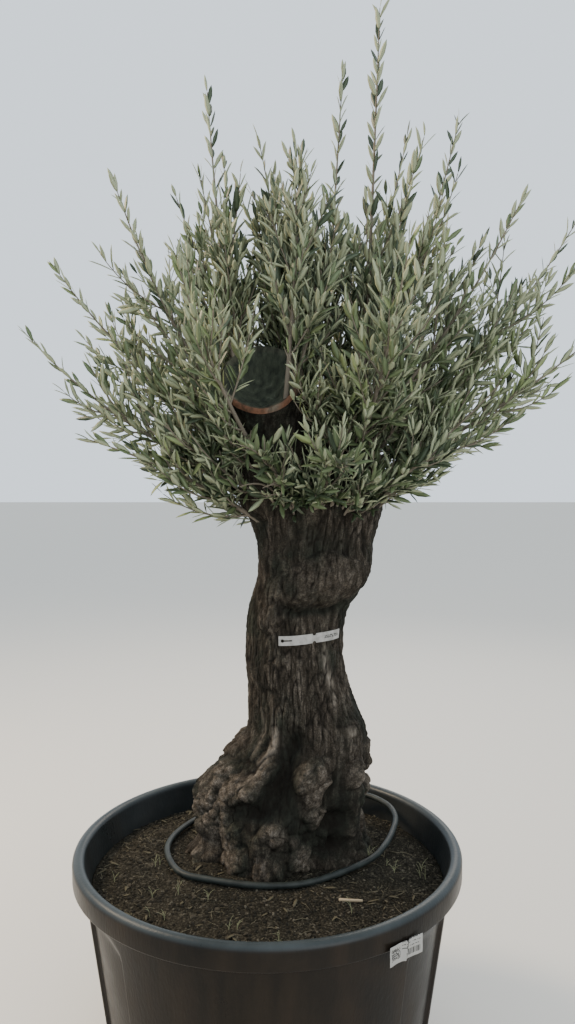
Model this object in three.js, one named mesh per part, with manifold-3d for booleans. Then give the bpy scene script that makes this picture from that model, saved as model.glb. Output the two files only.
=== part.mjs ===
// An old olive tree kept short and thick like a giant bonsai, in a round nursery pot.
// Millimetres and degrees. +Z is up, +X runs to the right of the tree's show side, and +Y away from it.
// The origin is the middle of the pot's flat underside.
import * as THREE from "three";
import { mergeVertices } from "three/addons/utils/BufferGeometryUtils.js";
import Module from "manifold-3d";

const wasm = await Module();
wasm.setup();

// Driving dimensions
const GAP = 0.3;
const GOLDEN_ANGLE = 137.5;
const GOLDEN_SHARE = 0.618;
const UP = new THREE.Vector3(0, 0, 1);

const POT = {
  sides: 44,
  height: 610,
  footRadius: 427,
  bodyTopRadius: 500,
  rimRadius: 530,
  rimWidth: 34,
  collarHeight: 62,
  wall: 16,
  floor: 18,
};
const PANEL = { angles: [-32.5, 32.5, 147.5, 212.5], width: 25, bottom: 50, top: 524, ramp: 45, depth: 11 };
const SOIL = { wallDrop: 85, moundDrop: 55, plateauRadius: 335 };

// The trunk in level slices: height over the soil, centre, and half its width and depth.
const TRUNK = {
  sides: 34,
  slices: 22,
  // Above 1, slices lie closer together at the knobby foot than at the head.
  crowding: 1.25,
  profile: [
    { h: 0, x: 35, y: 75, halfWidth: 264, halfDepth: 184 },
    { h: 60, x: 36, y: 75, halfWidth: 230, halfDepth: 172 },
    { h: 190, x: 40, y: 76, halfWidth: 233, halfDepth: 172 },
    { h: 255, x: 68, y: 76, halfWidth: 209, halfDepth: 158 },
    { h: 345, x: 104, y: 76, halfWidth: 173, halfDepth: 143 },
    { h: 450, x: 90, y: 76, halfWidth: 147, halfDepth: 132 },
    { h: 560, x: 74, y: 76, halfWidth: 139, halfDepth: 128 },
    { h: 680, x: 82, y: 76, halfWidth: 139, halfDepth: 128 },
    { h: 790, x: 127, y: 76, halfWidth: 156, halfDepth: 142 },
    { h: 880, x: 130, y: 78, halfWidth: 160, halfDepth: 148 },
    { h: 1000, x: 130, y: 82, halfWidth: 202, halfDepth: 174 },
  ],
};
// The flare's lobes: how many round the trunk, how deep against its radius, and turned how far.
const LOBES = [
  { count: 3, depth: 0.06, turn: 35 },
  { count: 5, depth: 0.07, turn: 200 },
  { count: 8, depth: 0.035, turn: 80 },
];
const LOBES_FADE = 330;
// Burls swell out of the trunk and hollows sink into it: compass angle, height over the soil, size, swell.
const BURLS = [
  { angle: 285, h: 215, size: 90, swell: 14 },
  { angle: 205, h: 70, size: 75, swell: 12 },
  { angle: 262, h: 60, size: 70, swell: 8 },
  { angle: 222, h: 850, size: 70, swell: 14 },
  { angle: 312, h: 830, size: 80, swell: 16 },
  { angle: 70, h: 240, size: 110, swell: 30 },
  { angle: 120, h: 620, size: 90, swell: 20 },
  { angle: 30, h: 880, size: 90, swell: 18 },
  { angle: 329, h: 210, size: 46, swell: 18 },
  { angle: 331, h: 150, size: 46, swell: 19 },
  { angle: 335, h: 92, size: 44, swell: 17 },
  { angle: 339, h: 44, size: 36, swell: 12 },
];
const HOLLOWS = [
  { angle: 255, h: 340, size: 42, swell: -16 },
  { angle: 260, h: 270, size: 50, swell: -22 },
  { angle: 264, h: 195, size: 46, swell: -24 },
  { angle: 243, h: 158, size: 44, swell: -20 },
  { angle: 310, h: 205, size: 24, swell: -16 },
  { angle: 317, h: 125, size: 30, swell: -26 },
  { angle: 320, h: 50, size: 30, swell: -24 },
  { angle: 270, h: 706, size: 34, swell: -9 },
  { angle: 300, h: 716, size: 34, swell: -9 },
  { angle: 95, h: 130, size: 70, swell: -30 },
];
// Knobs are domes as big as a fist: compass angle, height over the soil, radius and swell.
const KNOBS = [
  { angle: 286, h: 262, size: 46, swell: 26 },
  { angle: 301, h: 208, size: 40, swell: 18 },
  { angle: 304, h: 140, size: 36, swell: 12 },
  { angle: 322, h: 372, size: 28, swell: 8 },
  { angle: 328, h: 250, size: 36, swell: 18 },
  { angle: 196, h: 226, size: 54, swell: 22 },
  { angle: 196, h: 166, size: 46, swell: 16 },
  { angle: 217, h: 204, size: 46, swell: 19 },
  { angle: 243, h: 262, size: 27, swell: 12 },
  { angle: 236, h: 224, size: 38, swell: 16 },
  { angle: 211, h: 140, size: 46, swell: 17 },
  { angle: 221, h: 88, size: 44, swell: 15 },
  { angle: 199, h: 92, size: 46, swell: 16 },
  { angle: 203, h: 24, size: 44, swell: 16 },
  { angle: 230, h: 34, size: 42, swell: 15 },
  { angle: 262, h: 112, size: 36, swell: 12 },
  { angle: 252, h: 76, size: 34, swell: 13 },
  { angle: 284, h: 84, size: 22, swell: 14 },
  { angle: 260, h: 22, size: 42, swell: 16 },
  { angle: 290, h: 40, size: 42, swell: 14 },
  { angle: 258, h: 762, size: 60, swell: 30 },
  { angle: 236, h: 752, size: 50, swell: 22 },
  { angle: 280, h: 806, size: 66, swell: 24 },
  { angle: 303, h: 778, size: 62, swell: 30 },
  { angle: 234, h: 684, size: 46, swell: 28 },
  { angle: 234, h: 530, size: 42, swell: 12 },
];
// Away from the show side the knobs climb from the soil to the waist, spread round by the golden share.
const BACK_KNOBS = { count: 22, from: -14, span: 180, top: 300, smallest: 34, largest: 58, cycle: 4, steepness: 0.45 };

// Sawn limbs on the trunk's head. The cut is a slanting face: facing is its compass angle, tilt its slope.
const BOUGHS = {
  left: { foot: [20, 38], tip: [-16, -14, 1880], base: 92, end: 105, cut: { facing: 262, tilt: 48 } },
  right: { foot: [240, 56], tip: [222, 72, 1880], base: 78, end: 60, cut: { facing: 330, tilt: 20 } },
  back: { foot: [130, 182], tip: [104, 262, 1845], base: 68, end: 62, cut: { facing: 100, tilt: 25 } },
};
const BOUGH_SIDES = 12;

// The masses of shoots: the limb each one grows on and how far up it, its compass angle, how far its
// tip stands from the crown's axis and over the ground, and how far its shoot arches over.
const CROWN = { axis: [120, 80], seed: 7 };
const MASSES = {
  left_low: { limb: "left", up: 0.14, angle: 187, reach: 768, rise: 1998, arch: -0.15 },
  left_mid: { limb: "left", up: 0.45, angle: 174, reach: 726, rise: 2200, arch: -0.11 },
  left_high: { limb: "left", up: 0.62, angle: 191, reach: 530, rise: 2387, arch: -0.12 },
  left_skirt: { limb: "trunk", up: 0.93, angle: 202, reach: 611, rise: 1715, arch: 0.05 },
  top_left: { limb: "left", up: 0.88, angle: 176, reach: 288, rise: 2676, arch: -0.1 },
  top_front: { limb: "left", up: 0.8, angle: 261, reach: 192, rise: 2422, arch: -0.06 },
  top_back: { limb: "back", up: 0.9, angle: 52, reach: 149, rise: 2761, arch: -0.06 },
  top_middle: { limb: "back", up: 0.8, angle: 188, reach: 145, rise: 2528, arch: 0.1 },
  leader: { limb: "right", up: 0.92, angle: 348, reach: 185, rise: 2870, arch: -0.05 },
  top_right: { limb: "right", up: 0.8, angle: 8, reach: 418, rise: 2610, arch: -0.1 },
  right_high: { limb: "right", up: 0.6, angle: 344, reach: 555, rise: 2326, arch: -0.1 },
  right_mid: { limb: "right", up: 0.42, angle: 4, reach: 757, rise: 2347, arch: -0.12 },
  right_low: { limb: "right", up: 0.18, angle: 355, reach: 799, rise: 2025, arch: -0.08 },
  right_skirt: { limb: "trunk", up: 0.965, angle: 320, reach: 514, rise: 1705, arch: 0.1 },
  front_left: { limb: "left", up: 0.34, angle: 236, reach: 566, rise: 2125, arch: -0.12 },
  front_right: { limb: "right", up: 0.4, angle: 291, reach: 558, rise: 2145, arch: -0.12 },
  front_skirt: { limb: "trunk", up: 0.975, angle: 277, reach: 524, rise: 1650, arch: 0.22 },
  front_low: { limb: "trunk", up: 0.975, angle: 246, reach: 434, rise: 1700, arch: 0.15 },
  back_left: { limb: "back", up: 0.45, angle: 128, reach: 613, rise: 2235, arch: -0.12 },
  back_right: { limb: "back", up: 0.36, angle: 55, reach: 613, rise: 2200, arch: -0.12 },
  back_high: { limb: "back", up: 0.75, angle: 42, reach: 402, rise: 2647, arch: -0.1 },
  back_skirt: { limb: "trunk", up: 0.965, angle: 95, reach: 620, rise: 1760, arch: 0.12 },
};

// The one rule that every mass follows. Lengths of side shoots are shares of the stem's own length.
const SHOOT = {
  stemRadius: 8,
  tipRadius: 2.6,
  stemSteps: 5,
  sideShoots: 6,
  firstSide: 0.06,
  lastSide: 0.64,
  sideLength: 0.5,
  sideTaper: 0.7,
  sideRadius: 4.2,
  sideSteps: 2,
  spread: 38,
  lift: 0.9,
};
const LEAF = { length: 150, width: 46, thickness: 6, widest: 0.45, splay: 32 };
const SIDE_PAIR = 0.48;
const STEM_PAIRS = [0.5, 0.76];
const SPACE_MARGIN = 5;
const LIMB_MARGIN = 6;

// The white tag on the trunk's show side, and the ring of dripline round its foot.
const TAG = { h: 611, height: 26, thick: 1, from: 251, to: 330, steps: 10, climb: 10, lift: 0.95 };
const DRIPLINE = {
  radius: 8.5,
  rest: 1.1,
  sides: 6,
  steps: 38,
  joinerRadius: 11.5,
  joinerLength: 56,
  // The loop's way round from behind the trunk: distance from the axis, compass angle, lift off the mound.
  route: [
    { r: 365, angle: 92, lift: 4 },
    { r: 335, angle: 120, lift: 2 },
    { r: 312, angle: 146, lift: 0 },
    { r: 290, angle: 172, lift: 0 },
    { r: 256, angle: 202, lift: 0 },
    { r: 205, angle: 224, lift: 0 },
    { r: 174, angle: 266, lift: 0 },
    { r: 194, angle: 308, lift: 0 },
    { r: 275, angle: 348, lift: 8 },
    { r: 326, angle: 2, lift: 20 },
    { r: 376, angle: 16, lift: 33 },
    { r: 425, angle: 27, lift: 46 },
    { r: 455, angle: 38, lift: 56 },
    { r: 458, angle: 52, lift: 54 },
    { r: 420, angle: 70, lift: 24 },
  ],
};

const COLOURS = {
  pot: 0x4a4844,
  soil: 0x5b4638,
  bark: 0x6d6257,
  leaves: 0x76805f,
  tag: 0xeceae4,
  dripline: 0x2c2f30,
};

const soilTop = POT.height - SOIL.moundDrop;
const headHeight = soilTop + TRUNK.profile.at(-1).h;

// Small helpers
const range = (count) => Array.from({ length: count }, (_, i) => i);
const radians = THREE.MathUtils.degToRad;
const lerp = THREE.MathUtils.lerp;

function polar(radius, degrees, z = 0) {
  return new THREE.Vector3(radius * Math.cos(radians(degrees)), radius * Math.sin(radians(degrees)), z);
}

function seeded(seed) {
  let state = seed * 2654435761;
  return () => {
    state = (state + 0x6d2b79f5) | 0;
    let t = Math.imul(state ^ (state >>> 15), 1 | state);
    t = (t + Math.imul(t ^ (t >>> 7), 61 | t)) ^ t;
    return ((t ^ (t >>> 14)) >>> 0) / 4294967296;
  };
}

function middle(points) {
  return points.reduce((sum, p) => sum.add(p), new THREE.Vector3()).divideScalar(points.length);
}

// A smooth curve through the rows of a profile, read at height h.
function readProfile(rows, key, h) {
  const last = rows.length - 1;
  const i = Math.min(last - 1, Math.max(0, rows.findLastIndex((row) => row.h <= h)));
  const slope = (k) => {
    const [a, b] = [rows[Math.max(0, k - 1)], rows[Math.min(last, k + 1)]];
    return (b[key] - a[key]) / (b.h - a.h);
  };
  const step = rows[i + 1].h - rows[i].h;
  const t = THREE.MathUtils.clamp((h - rows[i].h) / step, 0, 1);
  const t2 = t * t;
  const t3 = t2 * t;
  return (
    rows[i][key] * (2 * t3 - 3 * t2 + 1) +
    slope(i) * step * (t3 - 2 * t2 + t) +
    rows[i + 1][key] * (3 * t2 - 2 * t3) +
    slope(i + 1) * step * (t3 - t2)
  );
}

// A closed skin through rings of points that run anticlockwise as seen from the end. A fan closes each
// end: flat, or drawn out to the point given for it.
function loft(rings, start = middle(rings[0]), end = middle(rings.at(-1))) {
  const count = rings[0].length;
  const points = [...rings.flat(), start, end];
  const [startMiddle, endMiddle] = [rings.length * count, rings.length * count + 1];
  const endRow = (rings.length - 1) * count;
  const index = [];
  for (const j of range(count)) {
    const next = (j + 1) % count;
    for (const row of range(rings.length - 1)) {
      const [a, b] = [row * count + j, row * count + next];
      index.push(a, b, b + count, a, b + count, a + count);
    }
    index.push(startMiddle, next, j, endMiddle, endRow + j, endRow + next);
  }
  const position = new Float32Array(points.flatMap((p) => [p.x, p.y, p.z]));
  return new THREE.BufferGeometry()
    .setAttribute("position", new THREE.BufferAttribute(position, 3))
    .setIndex(index);
}

// Rings round a curve, for loft. radiusAt takes the share of the way along.
function ringsAlong(curve, radiusAt, sides, steps) {
  const { normals, binormals } = curve.computeFrenetFrames(steps, false);
  return range(steps + 1).map((i) => {
    const centre = curve.getPointAt(i / steps);
    const radius = radiusAt(i / steps);
    return range(sides).map((j) => {
      const turn = (j / sides) * 2 * Math.PI;
      return centre
        .clone()
        .addScaledVector(normals[i], radius * Math.cos(turn))
        .addScaledVector(binormals[i], radius * Math.sin(turn));
    });
  });
}

function toSolid(geometry) {
  const bare = new THREE.BufferGeometry().setAttribute("position", geometry.getAttribute("position"));
  bare.setIndex(geometry.index);
  const merged = mergeVertices(bare, 1e-3);
  const mesh = new wasm.Mesh({
    numProp: 3,
    vertProperties: merged.attributes.position.array,
    triVerts: new Uint32Array(merged.index.array),
  });
  return new wasm.Manifold(mesh);
}

function toGeometry(solid) {
  const { vertProperties, triVerts } = solid.getMesh();
  return new THREE.BufferGeometry()
    .setAttribute("position", new THREE.BufferAttribute(new Float32Array(vertProperties), 3))
    .setIndex(new THREE.BufferAttribute(new Uint32Array(triVerts), 1));
}

// The pot: one turned shell, with lifting recesses cut into its left and right sides
function wallRadius(z) {
  return lerp(POT.footRadius, POT.bodyTopRadius, z / (POT.height - POT.collarHeight));
}

function turned(profile) {
  const points = profile.map(([radius, z]) => new THREE.Vector2(radius, z));
  return new THREE.LatheGeometry(points, POT.sides).rotateX(Math.PI / 2);
}

function panelCutter(angle) {
  const [inner, outer] = [(z) => wallRadius(z) - PANEL.depth, (z) => wallRadius(z) + 30];
  const arc = range(7).map((i) => angle + (i / 6 - 0.5) * PANEL.width);
  const slice = (z, sunk) => [
    ...arc.map((a) => polar(sunk ? inner(z) : wallRadius(z) + 4, a, z)).reverse(),
    ...arc.map((a) => polar(outer(z), a, z)),
  ];
  return toSolid(
    loft([slice(PANEL.bottom, true), slice(PANEL.top - PANEL.ramp, true), slice(PANEL.top, false)]),
  );
}

function makePot() {
  const collarFoot = POT.height - POT.collarHeight;
  const roll = POT.rimWidth / 2;
  const rimMiddle = POT.rimRadius - roll;
  const rollTop = range(5).map((i) => {
    const turn = radians(i * 45);
    return [rimMiddle + roll * Math.cos(turn), POT.height - roll + roll * Math.sin(turn)];
  });
  const profile = [
    [0, 0],
    [POT.footRadius, 0],
    [wallRadius(collarFoot), collarFoot],
    [POT.rimRadius - 5, collarFoot],
    [POT.rimRadius, collarFoot + 6],
    ...rollTop,
    [POT.bodyTopRadius - POT.wall, POT.height - 70],
    [wallRadius(POT.floor) - POT.wall, POT.floor],
    [0, POT.floor],
  ];
  const shell = toSolid(turned(profile));
  return PANEL.angles.reduce((pot, angle) => pot.subtract(panelCutter(angle)), shell);
}

// The inside of the pot's wall, just under its rim, runs straight down to the floor.
function insideRadius(z) {
  const [top, bottom] = [POT.bodyTopRadius - POT.wall, wallRadius(POT.floor) - POT.wall];
  return lerp(bottom, top, (z - POT.floor) / (POT.height - 70 - POT.floor));
}

function makeSoil() {
  const edgeTop = POT.height - SOIL.wallDrop;
  const floor = POT.floor + GAP;
  return turned([
    [0, floor],
    [insideRadius(floor) - GAP, floor],
    [insideRadius(edgeTop) - GAP, edgeTop],
    [SOIL.plateauRadius, soilTop],
    [0, soilTop],
  ]);
}

// Height of the mound under a point at this distance from the pot's axis.
function moundHeight(r) {
  const edge = insideRadius(POT.height - SOIL.wallDrop);
  const share = THREE.MathUtils.clamp((r - SOIL.plateauRadius) / (edge - SOIL.plateauRadius), 0, 1);
  return lerp(soilTop, POT.height - SOIL.wallDrop, share);
}

// The trunk: slices of an ellipse with lobes at its flare, burls and hollows
function trunkCentre(h) {
  return new THREE.Vector3(
    readProfile(TRUNK.profile, "x", h),
    readProfile(TRUNK.profile, "y", h),
    soilTop + GAP + h,
  );
}

function bumpAt(bump, degrees, h, radius) {
  const turn = THREE.MathUtils.euclideanModulo(degrees - bump.angle + 180, 360) - 180;
  const across = radians(turn) * radius;
  const up = h - bump.h;
  return bump.swell * Math.exp(-(across * across + up * up) / (bump.size * bump.size));
}

function backKnobs() {
  const { count, from, span, top, smallest, largest, cycle, steepness } = BACK_KNOBS;
  return range(count).map((k) => {
    const size = lerp(smallest, largest, (k % cycle) / (cycle - 1));
    const angle = from + span * ((k * GOLDEN_SHARE) % 1);
    return { angle, h: (top * k) / (count - 1), size, swell: steepness * size };
  });
}

const allKnobs = [...KNOBS, ...backKnobs()];

// Where two knobs meet, the one that stands out further wins, which leaves a crease between them.
function knobAt(degrees, h, radius) {
  const heights = allKnobs.map(({ angle, h: middle, size, swell }) => {
    const turn = THREE.MathUtils.euclideanModulo(degrees - angle + 180, 360) - 180;
    const away = Math.hypot(radians(turn) * radius, h - middle) / size;
    return swell * Math.sqrt(Math.max(0, 1 - away * away));
  });
  return Math.max(...heights);
}

function trunkRadius(degrees, h) {
  const turn = radians(degrees);
  const wide = readProfile(TRUNK.profile, "halfWidth", h);
  const deep = readProfile(TRUNK.profile, "halfDepth", h);
  const oval = (wide * deep) / Math.hypot(deep * Math.cos(turn), wide * Math.sin(turn));
  const fade = 0.22 + 0.78 * Math.exp(-((h / LOBES_FADE) ** 2));
  const lobes = LOBES.reduce(
    (sum, { count, depth, turn: phase }) => sum + depth * Math.cos(count * turn - radians(phase)),
    0,
  );
  const bumps = [...BURLS, ...HOLLOWS].reduce((sum, b) => sum + bumpAt(b, degrees, h, oval), 0);
  return oval * (1 + lobes * fade) + bumps + knobAt(degrees, h, oval);
}

const sliceHeight = (i) => (i / TRUNK.slices) ** TRUNK.crowding * TRUNK.profile.at(-1).h;

function makeTrunk(grow = 0) {
  const rings = range(TRUNK.slices + 1).map((i) => {
    const h = sliceHeight(i);
    const centre = trunkCentre(h);
    if (i === TRUNK.slices) centre.z += grow;
    return range(TRUNK.sides).map((j) => {
      const degrees = (j / TRUNK.sides) * 360;
      return polar(trunkRadius(degrees, h) + grow, degrees).add(centre);
    });
  });
  return loft(rings);
}

// The boughs: one tapering limb each, standing on the trunk's head and sawn off at a slant
function boughCurve({ foot, tip }) {
  const start = new THREE.Vector3(...foot, headHeight + 2 * GAP);
  const end = new THREE.Vector3(...tip);
  const bend = start.clone().lerp(end, 0.5).add(new THREE.Vector3(0, 0, 30));
  bend.x = lerp(start.x, end.x, 0.25);
  bend.y = lerp(start.y, end.y, 0.25);
  return new THREE.QuadraticBezierCurve3(start, bend, end);
}

function slide(ring, along, point, normal) {
  return ring.map((p) => {
    const distance = point.clone().sub(p).dot(normal) / along.dot(normal);
    return p.clone().addScaledVector(along, distance);
  });
}

function boughRadius(bough, share) {
  const lip = 1 + 0.09 * Math.exp(-(((1 - share) / 0.12) ** 2));
  return lerp(bough.base, bough.end, share ** 0.7) * lip;
}

function makeBough(bough, grow = 0) {
  const curve = boughCurve(bough);
  const steps = 6;
  const rings = ringsAlong(curve, (u) => boughRadius(bough, u) + grow, BOUGH_SIDES, steps);
  const tip = new THREE.Vector3(...bough.tip).addScaledVector(UP, grow);
  const slope = radians(bough.cut.tilt);
  const faceOut = polar(Math.sin(slope), bough.cut.facing, Math.cos(slope));
  const foot = new THREE.Vector3(0, 0, headHeight + 2 * GAP - grow);
  rings[0] = slide(rings[0], curve.getTangentAt(0), foot, UP);
  rings[steps] = slide(rings[steps], curve.getTangentAt(1), tip, faceOut);
  const clearOfCut = (ring) => ring.every((p) => tip.clone().sub(p).dot(faceOut) > 4);
  return loft([...rings.slice(0, steps).filter(clearOfCut), rings[steps]]);
}

// Where a mass starts: on the side of its limb that faces the mass's tip, a little inside the bark
const massTip = ({ angle, reach, rise }) =>
  polar(reach, angle, rise).add(new THREE.Vector3(...CROWN.axis, 0));

function massRoot(mass) {
  const tip = massTip(mass);
  if (mass.limb === "trunk") {
    const h = mass.up * TRUNK.profile.at(-1).h;
    const centre = trunkCentre(h);
    const degrees = THREE.MathUtils.radToDeg(Math.atan2(tip.y - centre.y, tip.x - centre.x));
    return polar(trunkRadius(degrees, h) - 25, degrees).add(centre);
  }
  const bough = BOUGHS[mass.limb];
  const centre = boughCurve(bough).getPointAt(mass.up);
  const outward = tip.clone().sub(centre).setZ(0).normalize();
  return centre.addScaledVector(outward, boughRadius(bough, mass.up) - 22);
}

function massSpine(mass) {
  const [root, tip] = [massRoot(mass), massTip(mass)];
  const across = tip.clone().sub(root).setZ(0);
  const climb = tip.z - root.z;
  const bend = root.clone().addScaledVector(across, 0.5 - mass.arch * 0.8);
  bend.z += climb * (0.5 + mass.arch) + Math.max(0, mass.arch) * across.length();
  return new THREE.QuadraticBezierCurve3(root, bend, tip);
}

const spines = Object.fromEntries(Object.entries(MASSES).map(([name, mass]) => [name, massSpine(mass)]));
const spinePoints = Object.fromEntries(
  Object.entries(spines).map(([name, spine]) => [name, spine.getSpacedPoints(28)]),
);

// A mass's space is all that lies nearer to its own stem than to any other, by a margin.
function inOwnSpace(name, p) {
  const near = (other) => Math.sqrt(Math.min(...spinePoints[other].map((q) => q.distanceToSquared(p))));
  const own = near(name) + 2 * SPACE_MARGIN;
  return Object.keys(spines).every((other) => other === name || near(other) > own);
}

function clearOfLimbs(p) {
  const h = p.z - soilTop;
  const top = TRUNK.profile.at(-1).h;
  if (h < top + LIMB_MARGIN) {
    const away = p.clone().sub(trunkCentre(h)).setZ(0);
    const degrees = THREE.MathUtils.radToDeg(Math.atan2(away.y, away.x));
    if (away.length() < trunkRadius(degrees, Math.min(h, top)) + LIMB_MARGIN) return false;
  }
  return Object.values(BOUGHS).every((bough) => {
    const curve = boughCurve(bough);
    return range(13).every((i) => {
      const reach = boughRadius(bough, i / 12) + LIMB_MARGIN;
      return curve.getPoint(i / 12).distanceTo(p) > reach;
    });
  });
}

// The widest ring of a leaf: three points, two for its edges and one for the keel on its back.
function leafRim(at, side, back, scale) {
  const halfWidth = (LEAF.width * scale) / 2;
  const edge = (way) =>
    at.clone().addScaledVector(side, way * halfWidth).addScaledVector(back, -LEAF.thickness / 3);
  return [at.clone().addScaledVector(back, (2 * LEAF.thickness) / 3), edge(1), edge(-1)];
}

// A twig of three sides that ends in a leaf, along a curve.
function twigLoft(curve, baseRadius, steps, leafScale) {
  const leafShare = (LEAF.length * leafScale) / curve.getLength();
  const wood = new THREE.Curve();
  wood.getPoint = (t) => curve.getPointAt(t * (1 - leafShare));
  const rings = ringsAlong(wood, (u) => lerp(baseRadius, SHOOT.tipRadius, u), 3, steps);
  const last = rings.at(-1);
  const end = wood.getPoint(1);
  const back = last[0].clone().sub(end).normalize();
  const side = last[1].clone().sub(last[2]).normalize();
  const widest = curve.getPointAt(1 - leafShare * (1 - LEAF.widest));
  return loft([...rings, leafRim(widest, side, back, leafScale)], undefined, curve.getPoint(1));
}

// A mass: its stem, side shoots a golden angle apart that bend upwards, and opposite pairs of leaves,
// each pair at right angles to the last. What would leave the mass's space or touch a limb is skipped.
function makeMass(name, seed) {
  const random = seeded(seed);
  const spine = spines[name];
  const stemLength = spine.getLength();
  const allowed = (points) => points.every((p) => inOwnSpace(name, p) && clearOfLimbs(p));
  const parts = [];

  // A direction that leaves the curve at u, turned round it and spread away from it.
  const leaving = (curve, u, turn, spread) => {
    const along = curve.getTangentAt(u);
    const out = new THREE.Vector3(0, 0, 1).cross(along).normalize();
    out.applyAxisAngle(along, radians(turn));
    const { x, y } = polar(1, spread);
    return along.clone().multiplyScalar(x).addScaledVector(out, y);
  };
  const firstAllowed = (options, points) => options.find((option) => allowed(points(option)));

  const addLeaf = (curve, u, turn, scale) => {
    const at = curve.getPointAt(u);
    const leafAt = (nudge) => {
      const heading = leaving(curve, u, turn + nudge, LEAF.splay);
      const side = heading.clone().cross(curve.getTangentAt(u)).normalize();
      const widest = at.clone().addScaledVector(heading, LEAF.length * LEAF.widest * scale);
      const rim = leafRim(widest, side, side.clone().cross(heading), scale);
      return { rim, tip: at.clone().addScaledVector(heading, LEAF.length * scale) };
    };
    const nudge = firstAllowed([0, 45, -45, 90, -90], (n) => [leafAt(n).tip, ...leafAt(n).rim]);
    if (nudge === undefined) return;
    const { rim, tip } = leafAt(nudge);
    parts.push(toSolid(loft([rim], at, tip)));
  };
  const addPair = (curve, u, turn) => {
    addLeaf(curve, u, turn, 0.85 + 0.3 * random());
    addLeaf(curve, u, turn + 180, 0.85 + 0.3 * random());
  };

  parts.push(toSolid(twigLoft(spine, SHOOT.stemRadius, SHOOT.stemSteps, 1)));
  const pairTurn = 360 * random();
  STEM_PAIRS.forEach((u, k) => addPair(spine, u, pairTurn + 90 * k));

  const firstTurn = 360 * random();
  for (const k of range(SHOOT.sideShoots)) {
    const u = lerp(SHOOT.firstSide, SHOOT.lastSide, k / (SHOOT.sideShoots - 1));
    const at = spine.getPointAt(u);
    const turn = firstTurn + k * GOLDEN_ANGLE;
    const spread = SHOOT.spread + 10 * (random() - 0.5);
    const full = stemLength * SHOOT.sideLength * (1 - SHOOT.sideTaper * u) * (0.85 + 0.3 * random());
    const shootAt = ([share, nudge]) => {
      const half = Math.max(full * share, 1.25 * LEAF.length) / 2;
      const heading = leaving(spine, u, turn + nudge, spread);
      const bend = at.clone().addScaledVector(heading, half);
      const upward = heading.clone().addScaledVector(UP, SHOOT.lift).normalize();
      return new THREE.QuadraticBezierCurve3(at, bend, bend.clone().addScaledVector(upward, half));
    };
    const options = [1, 0.75, 0.5].flatMap((share) => [0, 40, -40].map((nudge) => [share, nudge]));
    const option = firstAllowed(options, (o) => [0.4, 0.7, 1].map((t) => shootAt(o).getPoint(t)));
    if (!option) continue;
    const shoot = shootAt(option);
    parts.push(toSolid(twigLoft(shoot, SHOOT.sideRadius, SHOOT.sideSteps, 0.85)));
    addPair(shoot, SIDE_PAIR, 360 * random());
  }

  const fused = wasm.Manifold.union(parts);
  const limb = MASSES[name].limb;
  const inflated = toSolid(limb === "trunk" ? makeTrunk(GAP) : makeBough(BOUGHS[limb], GAP));
  const bodies = fused.subtract(inflated).decompose();
  return bodies.sort((a, b) => b.volume() - a.volume())[0];
}

// The tag: a thin strip that follows the trunk's faceted skin, which runs straight from slice to slice
function skinRadius(degrees, h) {
  const low = range(TRUNK.slices).findLast((i) => sliceHeight(i) <= h);
  const [from, to] = [sliceHeight(low), sliceHeight(low + 1)];
  const onSlice = (level) => polar(trunkRadius(degrees, level), degrees).add(trunkCentre(level));
  const skin = onSlice(from).lerp(onSlice(to), (h - from) / (to - from));
  return skin.sub(trunkCentre(h)).dot(polar(1, degrees));
}

function makeTag() {
  const rings = range(TAG.steps + 1).map((i) => {
    const degrees = lerp(TAG.from, TAG.to, i / TAG.steps);
    const base = TAG.h + TAG.climb * (i / TAG.steps);
    const corner = (dz, out) => {
      const radius = Math.max(...[0, 0.5, 1].map((up) => skinRadius(degrees, base + up * TAG.height)));
      return polar(radius + TAG.lift + out, degrees).add(trunkCentre(base + dz));
    };
    return [corner(0, 0), corner(TAG.height, 0), corner(TAG.height, TAG.thick), corner(0, TAG.thick)];
  });
  return loft(rings);
}

// The dripline: one pipe that lies on the mound and leans on the pot's wall at the back, and its joiner
function driplineCurve() {
  const points = DRIPLINE.route.map(({ r, angle, lift }) =>
    polar(r, angle, moundHeight(r) + DRIPLINE.radius + DRIPLINE.rest + lift),
  );
  return new THREE.CatmullRomCurve3(points, true);
}

function makeDripline() {
  const loop = driplineCurve();
  const gapShare = (DRIPLINE.joinerLength / 2 + 2 * GAP) / loop.getLength();
  const open = new THREE.Curve();
  open.getPoint = (t) => loop.getPointAt(lerp(gapShare, 1 - gapShare, t));
  return loft(ringsAlong(open, () => DRIPLINE.radius, DRIPLINE.sides, DRIPLINE.steps));
}

function makeJoiner() {
  const loop = driplineCurve();
  const half = DRIPLINE.joinerLength / 2;
  const share = half / loop.getLength();
  const [start, end] = [loop.getPointAt(1 - share), loop.getPointAt(share)];
  const line = new THREE.LineCurve3(start, end);
  return loft(ringsAlong(line, () => DRIPLINE.joinerRadius, 10, 1));
}

// The assembly
const olive = new THREE.Group();

function addPiece(name, shape, material) {
  const geometry = shape.isBufferGeometry ? shape : toGeometry(shape);
  const mesh = new THREE.Mesh(geometry, material);
  mesh.name = name;
  olive.add(mesh);
}

const finish = (color, roughness) => new THREE.MeshStandardMaterial({ color, roughness, metalness: 0 });
const barkFinish = finish(COLOURS.bark, 0.92);
const leafFinish = finish(COLOURS.leaves, 0.6);
const driplineFinish = finish(COLOURS.dripline, 0.5);

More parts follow.
